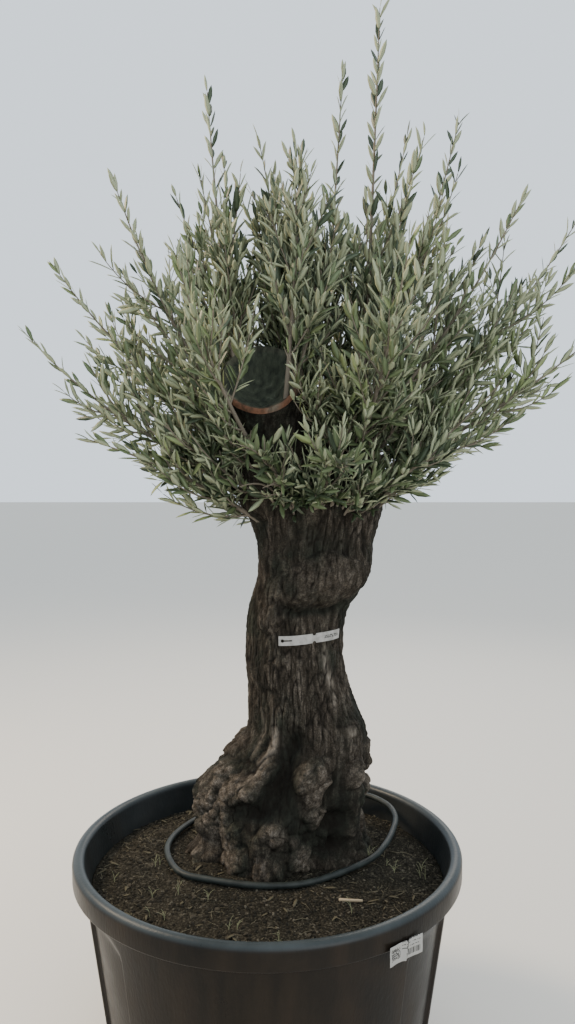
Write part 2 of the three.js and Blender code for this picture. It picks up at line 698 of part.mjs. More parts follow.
addPiece("pot", makePot(), finish(COLOURS.pot, 0.6));
addPiece("soil", makeSoil(), finish(COLOURS.soil, 0.97));
addPiece("trunk", makeTrunk(), barkFinish);
Object.entries(BOUGHS).forEach(([name, bough]) => addPiece(`bough_${name}`, makeBough(bough), barkFinish));
Object.keys(MASSES).forEach((name, i) => {
  addPiece(`shoots_${name}`, makeMass(name, CROWN.seed + i), leafFinish);
});
addPiece("tag", makeTag(), finish(COLOURS.tag, 0.45));
addPiece("dripline", makeDripline(), driplineFinish);
addPiece("dripline_joiner", makeJoiner(), driplineFinish);

export default olive;
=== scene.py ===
# %% [markdown]
# # A giant olive bonsai in its nursery pot
#
# An olive tree that was cut back hard grows new shoots from the stubs of its old limbs. What makes
# such a tree believable is the contrast of two scales: a heavy trunk with knobs, hollows and
# furrowed bark, and a cloud of thousands of small narrow leaves on thin straight shoots.
#
# The CAD model gives the frame: every size below is the CAD's own, in millimetres, and each piece
# is made in place over the solid that it stands for.

# %% Load the frame
import math

import bmesh
import bpy
import numpy as np
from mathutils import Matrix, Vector, noise


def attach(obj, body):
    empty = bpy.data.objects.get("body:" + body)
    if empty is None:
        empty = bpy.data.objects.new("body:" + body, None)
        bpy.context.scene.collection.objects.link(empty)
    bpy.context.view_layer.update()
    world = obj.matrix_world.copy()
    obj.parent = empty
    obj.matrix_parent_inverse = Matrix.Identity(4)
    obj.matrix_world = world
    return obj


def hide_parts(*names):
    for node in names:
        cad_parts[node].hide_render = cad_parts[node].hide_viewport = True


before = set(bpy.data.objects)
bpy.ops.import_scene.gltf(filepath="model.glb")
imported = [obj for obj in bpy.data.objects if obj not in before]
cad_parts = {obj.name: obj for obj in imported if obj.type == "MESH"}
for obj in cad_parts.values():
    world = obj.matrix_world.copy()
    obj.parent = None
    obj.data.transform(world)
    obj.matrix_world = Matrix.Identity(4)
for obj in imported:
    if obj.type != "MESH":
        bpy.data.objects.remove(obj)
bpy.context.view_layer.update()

# %% Sizes that the CAD and the scene share, in millimetres and degrees
MM = 0.001
GOLDEN_ANGLE = 137.5
GOLDEN_SHARE = 0.618
UP = np.array([0.0, 0.0, 1.0])

POT = dict(height=610, foot=427, body_top=500, rim=530, rim_width=34, collar=62, wall=16, floor=18, lip=70)
PANEL = dict(angles=(-32.5, 32.5, 147.5, 212.5), width=25, bottom=50, top=524, ramp=45, depth=11)
SOIL = dict(wall_drop=85, mound_drop=55, plateau=335)
SOIL_TOP = POT["height"] - SOIL["mound_drop"]
# Neighbouring pieces stand this far off each other.
CLEARANCE = 0.3

# The trunk's slices: height over the soil, centre x and y, half its width and half its depth.
TRUNK = [
    (0, 35, 75, 264, 184),
    (60, 36, 75, 230, 172),
    (190, 40, 76, 233, 172),
    (255, 68, 76, 209, 158),
    (345, 104, 76, 173, 143),
    (450, 90, 76, 147, 132),
    (560, 74, 76, 139, 128),
    (680, 82, 76, 139, 128),
    (790, 127, 76, 156, 142),
    (880, 130, 78, 160, 148),
    (1000, 130, 82, 202, 174),
]
TRUNK_HEIGHT = TRUNK[-1][0]
# Lobes of the flare: how many, how deep, turned how far.
LOBES = [(3, 0.06, 35), (5, 0.07, 200), (8, 0.035, 80)]
LOBES_FADE = 330
# Burls, hollows and knobs: angle, height, size, swell.
BURLS = [
    (285, 215, 90, 14), (205, 70, 75, 12), (262, 60, 70, 8),
    (222, 850, 70, 14), (312, 830, 80, 16), (70, 240, 110, 30),
    (120, 620, 90, 20), (30, 880, 90, 18), (329, 210, 46, 18),
    (331, 150, 46, 19), (335, 92, 44, 17), (339, 44, 36, 12),
]
HOLLOWS = [
    (255, 340, 42, -16), (260, 270, 50, -22), (264, 195, 46, -24),
    (243, 158, 44, -20), (310, 205, 24, -16), (317, 125, 30, -26),
    (320, 50, 30, -24), (270, 706, 34, -9), (300, 716, 34, -9),
    (95, 130, 70, -30),
]
KNOBS = [
    (286, 262, 46, 26), (301, 208, 40, 18), (304, 140, 36, 12),
    (322, 372, 28, 8), (328, 250, 36, 18), (196, 226, 54, 22),
    (196, 166, 46, 16), (217, 204, 46, 19), (243, 262, 27, 12),
    (236, 224, 38, 16), (211, 140, 46, 17), (221, 88, 44, 15),
    (199, 92, 46, 16), (203, 24, 44, 16), (230, 34, 42, 15),
    (262, 112, 36, 12), (252, 76, 34, 13), (284, 84, 22, 14),
    (260, 22, 42, 16), (290, 40, 42, 14), (258, 762, 60, 30),
    (236, 752, 50, 22), (280, 806, 66, 24), (303, 778, 62, 30),
    (234, 684, 46, 28), (234, 530, 42, 12),
]
# Away from the show side the knobs climb from the soil to the waist, spread round by the golden share.
BACK_KNOBS = dict(count=22, start=-14, span=180, top=300, smallest=34, largest=58, cycle=4, steepness=0.45)
# Grooves that only the scene carves: angle, height, half width, half height, depth.
GROOVES = [
    (256, 310, 20, 85, 10), (263, 200, 24, 60, 8), (245, 160, 38, 30, 8),
    (312, 196, 11, 60, 9), (320, 105, 13, 75, 16), (284, 120, 10, 45, 5),
    (226, 300, 9, 80, 7), (207, 190, 9, 80, 7), (262, 703, 45, 9, 9),
    (298, 712, 40, 9, 9), (150, 180, 18, 140, 12), (60, 120, 20, 110, 14),
    (20, 160, 18, 130, 12),
]
# Patches where moss and painted shade, in the hollows and under the burls, turn the bark nearly black: angle,
# height, half width, half height, strength.
DAMP_AND_SHADE = [
    (254, 345, 28, 50, 0.9), (258, 275, 42, 60, 1.0), (266, 205, 40, 50, 1.0),
    (243, 160, 52, 30, 0.95), (313, 235, 14, 60, 0.8), (321, 110, 20, 90, 0.95),
    (262, 703, 70, 18, 0.8), (302, 706, 55, 16, 0.8), (220, 560, 34, 60, 0.75),
    (222, 470, 18, 40, 0.6), (262, 895, 80, 45, 0.6), (300, 880, 50, 30, 0.5),
    (60, 420, 60, 160, 0.6), (130, 300, 40, 150, 0.6), (160, 740, 60, 90, 0.5),
    (280, 150, 40, 46, 0.85), (296, 112, 26, 34, 0.7), (251, 200, 34, 30, 0.7),
]
# Strips of bare pale wood, given like the patches of moss and painted shade.
BARE_STRIPS = [
    (236, 374, 9, 34, 0.9), (234, 322, 12, 36, 0.9), (229, 268, 13, 26, 0.7),
    (216, 350, 8, 46, 0.7), (312, 530, 10, 58, 0.95), (318, 360, 14, 22, 0.6),
    (100, 600, 30, 120, 0.5),
]

BOUGHS = dict(
    left=dict(foot=(20, 38), tip=(-16, -14, 1880), base=92, end=105, facing=262, tilt=48),
    right=dict(foot=(240, 56), tip=(222, 72, 1880), base=78, end=60, facing=330, tilt=20),
    back=dict(foot=(130, 182), tip=(104, 262, 1845), base=68, end=62, facing=100, tilt=25),
)
HEAD = SOIL_TOP + TRUNK_HEIGHT

# Masses of shoots: limb, how far up it, angle, reach from the crown's axis, height of the tip, arch.
CROWN_AXIS = (120, 80)
MASSES = dict(
    left_low=("left", 0.14, 187, 768, 1998, -0.15),
    left_mid=("left", 0.45, 174, 726, 2200, -0.11),
    left_high=("left", 0.62, 191, 530, 2387, -0.12),
    left_skirt=("trunk", 0.93, 202, 611, 1715, 0.05),
    top_left=("left", 0.88, 176, 288, 2676, -0.1),
    top_front=("left", 0.8, 261, 192, 2422, -0.06),
    top_back=("back", 0.9, 52, 149, 2761, -0.06),
    top_middle=("back", 0.8, 188, 145, 2528, 0.1),
    leader=("right", 0.92, 348, 185, 2870, -0.05),
    top_right=("right", 0.8, 8, 418, 2610, -0.1),
    right_high=("right", 0.6, 344, 555, 2326, -0.1),
    right_mid=("right", 0.42, 4, 757, 2347, -0.12),
    right_low=("right", 0.18, 355, 799, 2025, -0.08),
    right_skirt=("trunk", 0.965, 320, 514, 1705, 0.1),
    front_left=("left", 0.34, 236, 566, 2125, -0.12),
    front_right=("right", 0.4, 291, 558, 2145, -0.12),
    front_skirt=("trunk", 0.975, 277, 524, 1650, 0.22),
    front_low=("trunk", 0.975, 246, 434, 1700, 0.15),
    back_left=("back", 0.45, 128, 613, 2235, -0.12),
    back_right=("back", 0.36, 55, 613, 2200, -0.12),
    back_high=("back", 0.75, 42, 402, 2647, -0.1),
    back_skirt=("trunk", 0.965, 95, 620, 1760, 0.12),
)

# %% [markdown]
# ## Helpers
#
# A shell is a stack of rings of points, closed at both ends by a fan. Nearly everything here is one:
# pot, soil, trunk, limbs and hose. Working on whole arrays of points keeps the relief of a hundred
# thousand points quick, and a point's own attributes carry to its material what only the maker of
# the shape knows, such as how deep in a crack it lies.


# %% Mesh helpers
def linked_object(name, data):
    obj = bpy.data.objects.new(name, data)
    bpy.context.scene.collection.objects.link(obj)
    return obj


def mesh_object(name, points, faces, materials=(), smooth=True, edges=(), attributes=None):
    """A mesh from points in millimetres, with point attributes given as arrays of numbers."""
    mesh = bpy.data.meshes.new(name)
    mesh.from_pydata((np.asarray(points, float) * MM).tolist(), list(edges), faces)
    for material in materials:
        mesh.materials.append(material)
    for key, values in (attributes or {}).items():
        values = np.asarray(values, float)
        kind, field = ("FLOAT_VECTOR", "vector") if values.ndim == 2 else ("FLOAT", "value")
        mesh.attributes.new(key, kind, "POINT").data.foreach_set(field, values.ravel())
    mesh.polygons.foreach_set("use_smooth", [smooth] * len(mesh.polygons))
    return linked_object(name, mesh)


def evaluated_mesh(obj):
    """What an object's modifiers or curves make, as a plain mesh."""
    graph = bpy.context.evaluated_depsgraph_get()
    return bpy.data.meshes.new_from_object(obj.evaluated_get(graph), depsgraph=graph)


def grid_quads(index, after):
    """Four-sided faces of a grid, from the numbers of its points and of their next neighbours."""
    return np.stack([index[:-1], after[:-1], after[1:], index[1:]], axis=-1).reshape(-1, 4)


def shell(rings):
    """Points and faces of a closed shell through rings that run anticlockwise seen from the end."""
    rings = np.asarray(rings, float)
    rows, sides = rings.shape[:2]
    index = np.arange(rows * sides).reshape(rows, sides)
    after = np.roll(index, -1, axis=1)
    start, end = rows * sides, rows * sides + 1
    faces = grid_quads(index, after).tolist()
    faces += [[start, b, a] for a, b in zip(index[0].tolist(), after[0].tolist())]
    faces += [[end, a, b] for a, b in zip(index[-1].tolist(), after[-1].tolist())]
    points = np.vstack([rings.reshape(-1, 3), rings[0].mean(axis=0), rings[-1].mean(axis=0)])
    return points, faces


def with_poles(values):
    """A value per ring point, followed by those of the two points that close the ends."""
    values = np.asarray(values, float)
    return np.concatenate([values.ravel(), [values[0].mean(), values[-1].mean()]])


def angles_round(sides):
    return np.arange(sides) * 360 / sides


def turned_from(angle, degrees):
    """How far degrees are turned from an angle, from -180 to 180."""
    return (degrees - angle + 180) % 360 - 180


def polar(radius, degrees, z=0.0):
    radius, turn, z = np.broadcast_arrays(radius, np.radians(degrees), z)
    return np.stack([radius * np.cos(turn), radius * np.sin(turn), z], axis=-1).astype(float)


def unit(vectors):
    return vectors / np.linalg.norm(vectors, axis=-1, keepdims=True)


def smoothstep(low, high, value):
    t = np.clip((np.asarray(value, float) - low) / (high - low), 0, 1)
    return t * t * (3 - 2 * t)


def noise_at(points, scale, stretch=1.0, seed=0.0):
    """Smooth noise from -1 to 1 with features of this size, drawn out along Z by stretch."""
    shrunk = np.asarray(points) / (scale, scale, scale * stretch) + seed
    return np.array([noise.noise(p) for p in shrunk.tolist()])


def way_gone(points):
    """How far along a path each of its points lies."""
    return np.r_[0, np.cumsum(np.linalg.norm(np.diff(points, axis=0), axis=1))]


def place_on(points, gone, way):
    """Where a path is after a way, or after each of several."""
    return np.stack([np.interp(way, gone, points[:, k]) for k in range(3)], axis=-1)


def even_path(points, steps):
    """The same path with its points an equal way apart."""
    gone = way_gone(points)
    return place_on(points, gone, np.linspace(0, gone[-1], steps + 1))


def bezier_path(start, bend, end, steps):
    t = np.linspace(0, 1, 120)[:, None]
    return even_path((1 - t) ** 2 * start + 2 * t * (1 - t) * bend + t**2 * end, steps)


def along(path, share):
    """The point a share of the way along a path, and the way the path heads there."""
    position = share * (len(path) - 1)
    i = min(int(position), len(path) - 2)
    step = path[i + 1] - path[i]
    return path[i] + (position - i) * step, unit(step)


def length_of(path):
    return np.linalg.norm(np.diff(path, axis=0), axis=1).sum()


# %% [markdown]
# ## Materials
#
# Each material is a small node tree. One function adds a node and wires it in the same line, so a
# tree reads from coordinates to shader like a recipe. Dust, lichen and moss are coats laid over a
# base colour one after another, as they lie on the real thing, and so are painted shade in cracks and
# hollows and a painted highlight on the pot's rim. Patterns use object coordinates, in metres, and
# their scale follows from the grain's real size: features of 5 mm need a scale near 200.


# %% Material helpers
# What Blender calls a colour ramp
RAMP = "ShaderNodeValToRGB"


def colour(hex_code):
    """An sRGB colour such as 7a6f5c as the linear numbers that shaders want, fully opaque."""
    channels = [int(hex_code[i : i + 2], 16) / 255 for i in (0, 2, 4)]
    linear = [c / 12.92 if c <= 0.04045 else ((c + 0.055) / 1.055) ** 2.4 for c in channels]
    return (*linear, 1.0)


def add_node(tree, kind, inputs=None, stops=(), **settings):
    """A node with its settings, and each input set to a value or wired to another node's output.

    Stops are the positions and hex colours of a colour ramp.
    """
    node = tree.nodes.new(kind)
    for key, value in settings.items():
        setattr(node, key, value)
    for key, value in (inputs or {}).items():
        if isinstance(value, bpy.types.NodeSocket):
            tree.links.new(value, node.inputs[key])
        else:
            node.inputs[key].default_value = value
    elements = node.color_ramp.elements if stops else ()
    while len(elements) < len(stops):
        elements.new(0.5)
    for element, (position, hex_code) in zip(elements, stops):
        element.position = position
        element.color = colour(hex_code)
    return node


def first_of(tree, kind, inputs=None, **settings):
    """The first output of a new node."""
    return add_node(tree, kind, inputs, **settings).outputs[0]


def new_material(name, hex_code, roughness, **shader_values):
    material = bpy.data.materials.new(name)
    material.use_nodes = True
    shader = material.node_tree.nodes["Principled BSDF"]
    shader.inputs["Base Color"].default_value = colour(hex_code)
    shader.inputs["Roughness"].default_value = roughness
    for key, value in shader_values.items():
        shader.inputs[key.replace("_", " ")].default_value = value
    return material


def pattern(tree, scale, detail, stretch=(1, 1, 1), **inputs):
    """A noise in object coordinates, drawn out by stretch."""
    place = add_node(tree, "ShaderNodeTexCoord").outputs["Object"]
    mapping = add_node(tree, "ShaderNodeMapping", {"Vector": place, "Scale": stretch})
    settings = {"Vector": mapping.outputs["Vector"], "Scale": scale, "Detail": detail, **inputs}
    return add_node(tree, "ShaderNodeTexNoise", settings).outputs["Fac"]


def laid_over(tree, base, *coats, blend="MIX"):
    """A colour under coats, each given as how much of it shows and its own colour.

    How much shows is a number, a pattern, or the name of an attribute of the mesh's points.
    """
    for share, coat in coats:
        if isinstance(share, str):
            share = add_node(tree, "ShaderNodeAttribute", attribute_name=share).outputs["Fac"]
        # This node's colour inputs are its seventh and eighth, and its colour output is its third
        inputs = {0: share, 6: base, 7: coat}
        base = add_node(tree, "ShaderNodeMix", inputs, data_type="RGBA", blend_type=blend).outputs[2]
    return base


def to_shader(material, **sockets):
    """Wires outputs into the shader's sockets. Height is wired through a bump node."""
    tree = material.node_tree
    shader = tree.nodes["Principled BSDF"]
    height = sockets.pop("height", None)
    if height:
        output, distance = height
        bump = add_node(tree, "ShaderNodeBump", {"Height": output, "Distance": distance})
        tree.links.new(bump.outputs["Normal"], shader.inputs["Normal"])
    for key, output in sockets.items():
        tree.links.new(output, shader.inputs[key.replace("_", " ")])


# %% [markdown]
# ## The pot
#
# A blow-moulded container is one turned shell: a tapered body, a collar, and a rolled rim. It could
# be a lathe with the lifting recesses cut in by a Boolean, but pushing in the points of a fine
# turned grid gives the recesses the soft edges of moulded plastic. The plastic is dusty: brown dust
# sticks to the body. The top of the rolled rim is painted a paler blue grey, a painted highlight of
# the sky, and the inside takes half of that blue grey.


# %% Pot
FOOT_ROUND, COLLAR_ROUND = 10, 6
WALL_ROWS = 66
ARCH_RISE = 34
# Rows at the end of the pot's profile: those that no recess reaches, and those of its inside.
ROWS_PAST_WALL = 19
ROWS_INSIDE = 7
OUT_OF_ROUND = 1.2


def wall_radius(z):
    share = np.asarray(z, float) / (POT["height"] - POT["collar"])
    return POT["foot"] + (POT["body_top"] - POT["foot"]) * share


def arc(centre, radius, first, last, count):
    turns = np.radians(np.linspace(first, last, count))
    return [(centre[0] + radius * np.cos(t), centre[1] + radius * np.sin(t)) for t in turns]


def pot_profile():
    """The wall's outline from the middle of the underside, out, up, over the rim and in again."""
    collar_foot = POT["height"] - POT["collar"]
    roll = POT["rim_width"] / 2
    rim_middle = (POT["rim"] - roll, POT["height"] - roll)
    foot = arc((POT["foot"] - FOOT_ROUND, FOOT_ROUND), FOOT_ROUND, -90, 0, 5)
    body = [(wall_radius(z), z) for z in np.linspace(FOOT_ROUND + 2, collar_foot - 3, WALL_ROWS)]
    under_collar = [(wall_radius(collar_foot) + 3, collar_foot - 1), (POT["rim"] - 9, collar_foot)]
    collar = arc((POT["rim"] - COLLAR_ROUND, collar_foot + COLLAR_ROUND), COLLAR_ROUND, -90, 0, 5)
    inner_foot, inner_top = wall_radius(POT["floor"]) - POT["wall"], POT["body_top"] - POT["wall"]
    outline = [(0.1, 0), (POT["foot"] - FOOT_ROUND - 2, 0), *foot, *body, *under_collar, *collar]
    outline += [*arc(rim_middle, roll, 0, 180, 13), (inner_top + 2, POT["height"] - POT["lip"] + 12)]
    outline += [(inner_top, POT["height"] - POT["lip"]), (inner_foot, POT["floor"]), (0.1, POT["floor"])]
    return np.array(outline)


def panel_depth(degrees, z):
    """How far the lifting recesses, with their arched tops, push the wall in at each point."""
    off = np.min([np.abs(turned_from(angle, degrees)) for angle in PANEL["angles"]], axis=0)
    across = 1 - smoothstep(PANEL["width"] / 2 - 0.6, PANEL["width"] / 2 + 0.4, off)
    low = smoothstep(PANEL["bottom"], PANEL["bottom"] + 9, z)
    arch = z + ARCH_RISE * (2 * off / PANEL["width"]) ** 3
    high = 1 - smoothstep(PANEL["top"] - PANEL["ramp"], PANEL["top"], arch)
    return PANEL["depth"] * across * low * high


def make_pot():
    profile = pot_profile()
    sides = 720
    radius, z = [np.repeat(profile[:, k][:, None], sides, axis=1) for k in (0, 1)]
    angle = np.broadcast_to(angles_round(sides), radius.shape)
    rows_left = len(profile) - np.arange(len(profile))[:, None]
    sunk = np.where(rows_left > ROWS_PAST_WALL, panel_depth(angle, z), 0)
    uneven = OUT_OF_ROUND * np.cos(2 * np.radians(angle)) * z / POT["height"]
    rings = polar(np.maximum(radius - sunk + np.where(radius > 1, uneven, 0), 0.1), angle, z)
    # The top of the rim's roll takes a paler blue grey, a painted sky highlight, and the inside takes half of
    # it
    roll_top = smoothstep(POT["height"] - 15, POT["height"] - 4, z)
    rim_sheen_and_inside = np.maximum(roll_top, np.where(rows_left <= ROWS_INSIDE, 0.5, 0))
    marks = {"rim": with_poles(rim_sheen_and_inside)}
    return mesh_object("nursery_pot", *shell(rings), [make_pot_plastic()], attributes=marks)


def make_pot_plastic():
    # Black polyethylene, weathered to charcoal under brown dust
    material = new_material("weathered_polyethylene", "3a3733", 0.6, Specular_IOR_Level=0.16)
    tree = material.node_tree
    cloud = pattern(tree, 5, 5, Roughness=0.6)
    streaks = pattern(tree, 14, 4, stretch=(1, 1, 0.12))
    body = first_of(tree, RAMP, {0: cloud}, stops=[(0.3, "100e0b"), (0.55, "181410"), (0.75, "231c15")])
    dusty = first_of(tree, RAMP, {0: streaks}, stops=[(0.45, "000000"), (0.8, "c0c0c0")])
    # A paler blue grey for the top of the rim: a painted sky highlight
    rim = first_of(tree, RAMP, {0: cloud}, stops=[(0.35, "262b2c"), (0.65, "343a3c")])
    base = laid_over(tree, body, (dusty, colour("2f251b")), ("rim", rim))
    scuffs = pattern(tree, 160, 2, stretch=(1, 1, 0.3))
    roughness = first_of(tree, RAMP, {0: cloud}, stops=[(0.3, "8c8c8c"), (0.7, "b4b4b4")])
    to_shader(material, Base_Color=base, Roughness=roughness, height=(scuffs, 0.0006))
    return material


pot = make_pot()
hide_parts("pot")
print("pot faces", len(pot.data.polygons))

# %% [markdown]
# ## The soil
#
# The potting mix is mounded round the trunk and has sunk at the wall. Its surface is a fine polar
# grid that noise lifts into clods and footprints of rain. A displaced disc would do too, but rings
# of points end exactly at the wall and go on round the underside. What lies on it comes afterwards.


# %% Soil
def inside_radius(z):
    top, bottom = POT["body_top"] - POT["wall"], wall_radius(POT["floor"]) - POT["wall"]
    share = (np.asarray(z, float) - POT["floor"]) / (POT["height"] - POT["lip"] - POT["floor"])
    return bottom + (top - bottom) * share


EDGE_TOP = POT["height"] - SOIL["wall_drop"]
SOIL_EDGE = float(inside_radius(EDGE_TOP)) - CLEARANCE


def mound_height(r):
    share = np.clip((np.asarray(r, float) - SOIL["plateau"]) / (SOIL_EDGE - SOIL["plateau"]), 0, 1)
    return SOIL_TOP - (SOIL["wall_drop"] - SOIL["mound_drop"]) * share


def soil_surface(xy):
    """Height of the soil's surface over points given by x and y."""
    points = np.column_stack([xy, np.zeros(len(xy))])
    r = np.linalg.norm(xy, axis=1)
    soft_corner = -5 * np.exp(-(((r - SOIL["plateau"]) / 28) ** 2))
    lumps = 6 * noise_at(points, 90, seed=3) + 4.5 * noise_at(points, 34, seed=8)
    clods = 2.2 * np.abs(noise_at(points, 12, seed=5)) + 1.4 * noise_at(points, 6, seed=2)
    off_wall = smoothstep(SOIL_EDGE, SOIL_EDGE - 40, r)
    return mound_height(r) + soft_corner + (lumps + clods) * off_wall - 1


def make_soil_mix():
    # Compost with bark and clay: dark brown, with dry paler crumbs
    material = new_material("potting_soil", "4a3b2f", 0.95, Specular_IOR_Level=0.05)
    tree = material.node_tree
    cloud, grain = pattern(tree, 7, 3), pattern(tree, 190, 5)
    patches = first_of(tree, RAMP, {0: cloud}, stops=[(0.35, "181713"), (0.52, "22201b"), (0.7, "2f2b24")])
    crumbs = first_of(tree, RAMP, {0: grain}, stops=[(0.42, "13120e"), (0.56, "35322a"), (0.7, "5e594d")])
    base = laid_over(tree, patches, (0.5, crumbs))
    to_shader(material, Base_Color=base, height=(pattern(tree, 330, 5), 0.004))
    return material


def make_soil():
    degrees = angles_round(420)
    floor = POT["floor"] + CLEARANCE
    rings = [polar(0.1, degrees, floor), polar(float(inside_radius(floor)) - CLEARANCE, degrees, floor)]
    rings += [polar(SOIL_EDGE, degrees, EDGE_TOP - 2)]
    for r in np.linspace(SOIL_EDGE - 1, 60, 104):
        ring = polar(r, degrees)
        ring[:, 2] = soil_surface(ring[:, :2])
        rings.append(ring)
    return mesh_object("potting_soil_bed", *shell(rings), [make_soil_mix()])


soil = make_soil()
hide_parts("soil")
print("soil faces", len(soil.data.polygons))

# %% [markdown]
# ## The trunk and its sawn limbs
#
# Old olive wood has relief at every scale: lobes at its foot, burls and hollows, rounded knobs as
# big as a fist, ropes of wood that run up the trunk, and cracks between plates of bark. Sculpting
# would do, but layers of noise added to the CAD's own radius are repeatable and stay where the CAD
# is. The lumps on the knobs are cells of a Voronoi pattern, each rounded like a dome. The cracks are
# the lines where a noise drawn out along the trunk crosses zero.


# %% The trunk's radius, as in the CAD
def read_profile(column, h):
    table = np.array(TRUNK, float)
    knots, values = table[:, 0], table[:, column]
    order = np.arange(len(knots))
    before, after = np.maximum(order - 1, 0), np.minimum(order + 1, len(knots) - 1)
    slopes = (values[after] - values[before]) / (knots[after] - knots[before])
    i = np.clip(np.searchsorted(knots, h, side="right") - 1, 0, len(knots) - 2)
    step = knots[i + 1] - knots[i]
    t = np.clip((h - knots[i]) / step, 0, 1)
    ease = 3 * t**2 - 2 * t**3
    bend = slopes[i] * (t**3 - 2 * t**2 + t) + slopes[i + 1] * (t**3 - t**2)
    return values[i] * (1 - ease) + values[i + 1] * ease + step * bend


def trunk_centre(h):
    h = np.asarray(h, float)
    return np.stack([read_profile(1, h), read_profile(2, h), SOIL_TOP + CLEARANCE + h], axis=-1)


def off_from(feature, degrees, h, radius):
    """How far points on the bark lie round and up from a feature given by its angle and height."""
    return np.radians(turned_from(feature[0], degrees)) * radius, h - feature[1]


def bump_at(bump, degrees, h, radius):
    across, up = off_from(bump, degrees, h, radius)
    _, _, size, swell = bump
    return swell * np.exp(-(across**2 + up**2) / size**2)


def back_knobs():
    count, cycle = BACK_KNOBS["count"], BACK_KNOBS["cycle"]
    for k in range(count):
        size = np.interp(k % cycle, [0, cycle - 1], [BACK_KNOBS["smallest"], BACK_KNOBS["largest"]])
        angle = BACK_KNOBS["start"] + BACK_KNOBS["span"] * ((k * GOLDEN_SHARE) % 1)
        yield angle, BACK_KNOBS["top"] * k / (count - 1), size, BACK_KNOBS["steepness"] * size


ALL_KNOBS = [*KNOBS, *back_knobs()]


def dome_at(knob, degrees, h, radius):
    """The height of one dome from 0 to 1."""
    across, up = off_from(knob, degrees, h, radius)
    return np.sqrt(np.clip(1 - (across**2 + up**2) / knob[2] ** 2, 0, 1))


def patch_at(patch, degrees, h, radius):
    """A smooth patch, strongest at its middle: angle, height, half width, half height, strength."""
    across, up = off_from(patch, degrees, h, radius)
    _, _, half_width, half_height, strength = patch
    return strength * np.exp(-((across / half_width) ** 2) - (up / half_height) ** 2)


def oval_radius(degrees, h):
    turn = np.radians(degrees)
    wide, deep = read_profile(3, h), read_profile(4, h)
    return wide * deep / np.hypot(deep * np.cos(turn), wide * np.sin(turn))


def knobs_at(degrees, h, knobs):
    """How far the knobs stand out, and how near their tops a point is, from 0 to 1."""
    radius = oval_radius(degrees, h)
    domes = np.array([dome_at(knob, degrees, h, radius) for knob in knobs])
    swells = np.array([knob[3] for knob in knobs])
    return (domes * swells[:, None]).max(axis=0), domes.max(axis=0)


def trunk_radius(degrees, h):
    degrees, h = np.broadcast_arrays(np.asarray(degrees, float), np.asarray(h, float))
    shape = degrees.shape
    degrees, h = degrees.ravel(), h.ravel()
    turn, oval = np.radians(degrees), oval_radius(degrees, h)
    fade = 0.22 + 0.78 * np.exp(-((h / LOBES_FADE) ** 2))
    lobes = sum(depth * np.cos(count * turn - np.radians(phase)) for count, depth, phase in LOBES)
    smooth = oval * (1 + lobes * fade) + sum(bump_at(b, degrees, h, oval) for b in BURLS + HOLLOWS)
    return (smooth + knobs_at(degrees, h, ALL_KNOBS)[0]).reshape(shape)


# %% [markdown]
# Bark is one function for the trunk and the limbs, so that they match. It gives the relief together
# with what it knows on the way: how deep in a crack a point lies, and how near a lump's top.
# Displacing by a picture of bark would be quicker, but colours then wouldn't know the shape.


# %% Bark relief
# Heights and depths of each kind of relief. A knobby place is sunk first, and its lumps rise from there.
RELIEF = dict(ropes=4, lumps=13, beads=3, sunk=9, grooves=3.5, lines=2.5, flakes=2.6, fewer_flakes=1.3)
# Sizes and seeds of the lumps and of the beads on them.
LUMP_SIZES = ((38, 7.5), (19, 4.2))


def knob_field(points, size, seed):
    """Rounded domes, one per cell: 1 on a dome's top, 0 in the sharp valley between two."""
    nearest = np.array([noise.voronoi(p)[0][:2] for p in (points / size + seed).tolist()])
    dome = np.sqrt(np.clip(1 - (nearest[:, 0] / 0.85) ** 2, 0, 1))
    return dome * (0.3 + 0.7 * smoothstep(0, 0.26, nearest[:, 1] - nearest[:, 0]))


def bark(points, knobby):
    """Relief in millimetres, depth in cracks and valleys from 0 to 1, which the material paints as shade, and
    how near a point is to a lump's top.
    """
    sway = [noise_at(points, 170, 1.5, seed) for seed in (11, 37)]
    sway = np.column_stack([*sway, np.zeros(len(points))])
    bent = points + 20 * sway
    ropes = noise_at(bent, 40, 3.6, 1)
    groove = np.exp(-((noise_at(bent, 17, 4.2, 5) / 0.12) ** 2))
    line = np.exp(-((noise_at(bent, 8, 3.8, 9) / 0.18) ** 2))
    flakes = np.abs(noise_at(bent, 11, 2.2, 77)) + 0.6 * noise_at(points, 6.5, 1.3, 21)
    torn = points + 9 * np.roll(sway, 1, axis=1) + 5 * noise_at(points, 30, 1, 51)[:, None]
    lumps, beads = [knob_field(torn, size, seed) for size, seed in LUMP_SIZES]
    plain = 1 - knobby
    patchy = smoothstep(-0.45, 0.2, noise_at(points, 80, 1, 61))
    relief = RELIEF["ropes"] * ropes * plain
    relief += knobby * (RELIEF["lumps"] * lumps * patchy + RELIEF["beads"] * beads - RELIEF["sunk"])
    cracks = RELIEF["grooves"] * groove + RELIEF["lines"] * line
    relief += -cracks * (0.12 + 0.88 * plain) + (RELIEF["flakes"] - RELIEF["fewer_flakes"] * knobby) * flakes
    top = 0.6 * lumps * patchy + 0.4 * beads + 0.25 * (1 - patchy)
    # Valleys between lumps are dark with painted shade
    valley = knobby * np.clip(0.9 - 1.8 * top, 0, 1)
    return relief, np.clip(0.7 * groove * plain + 0.5 * line * plain + valley, 0, 1), top
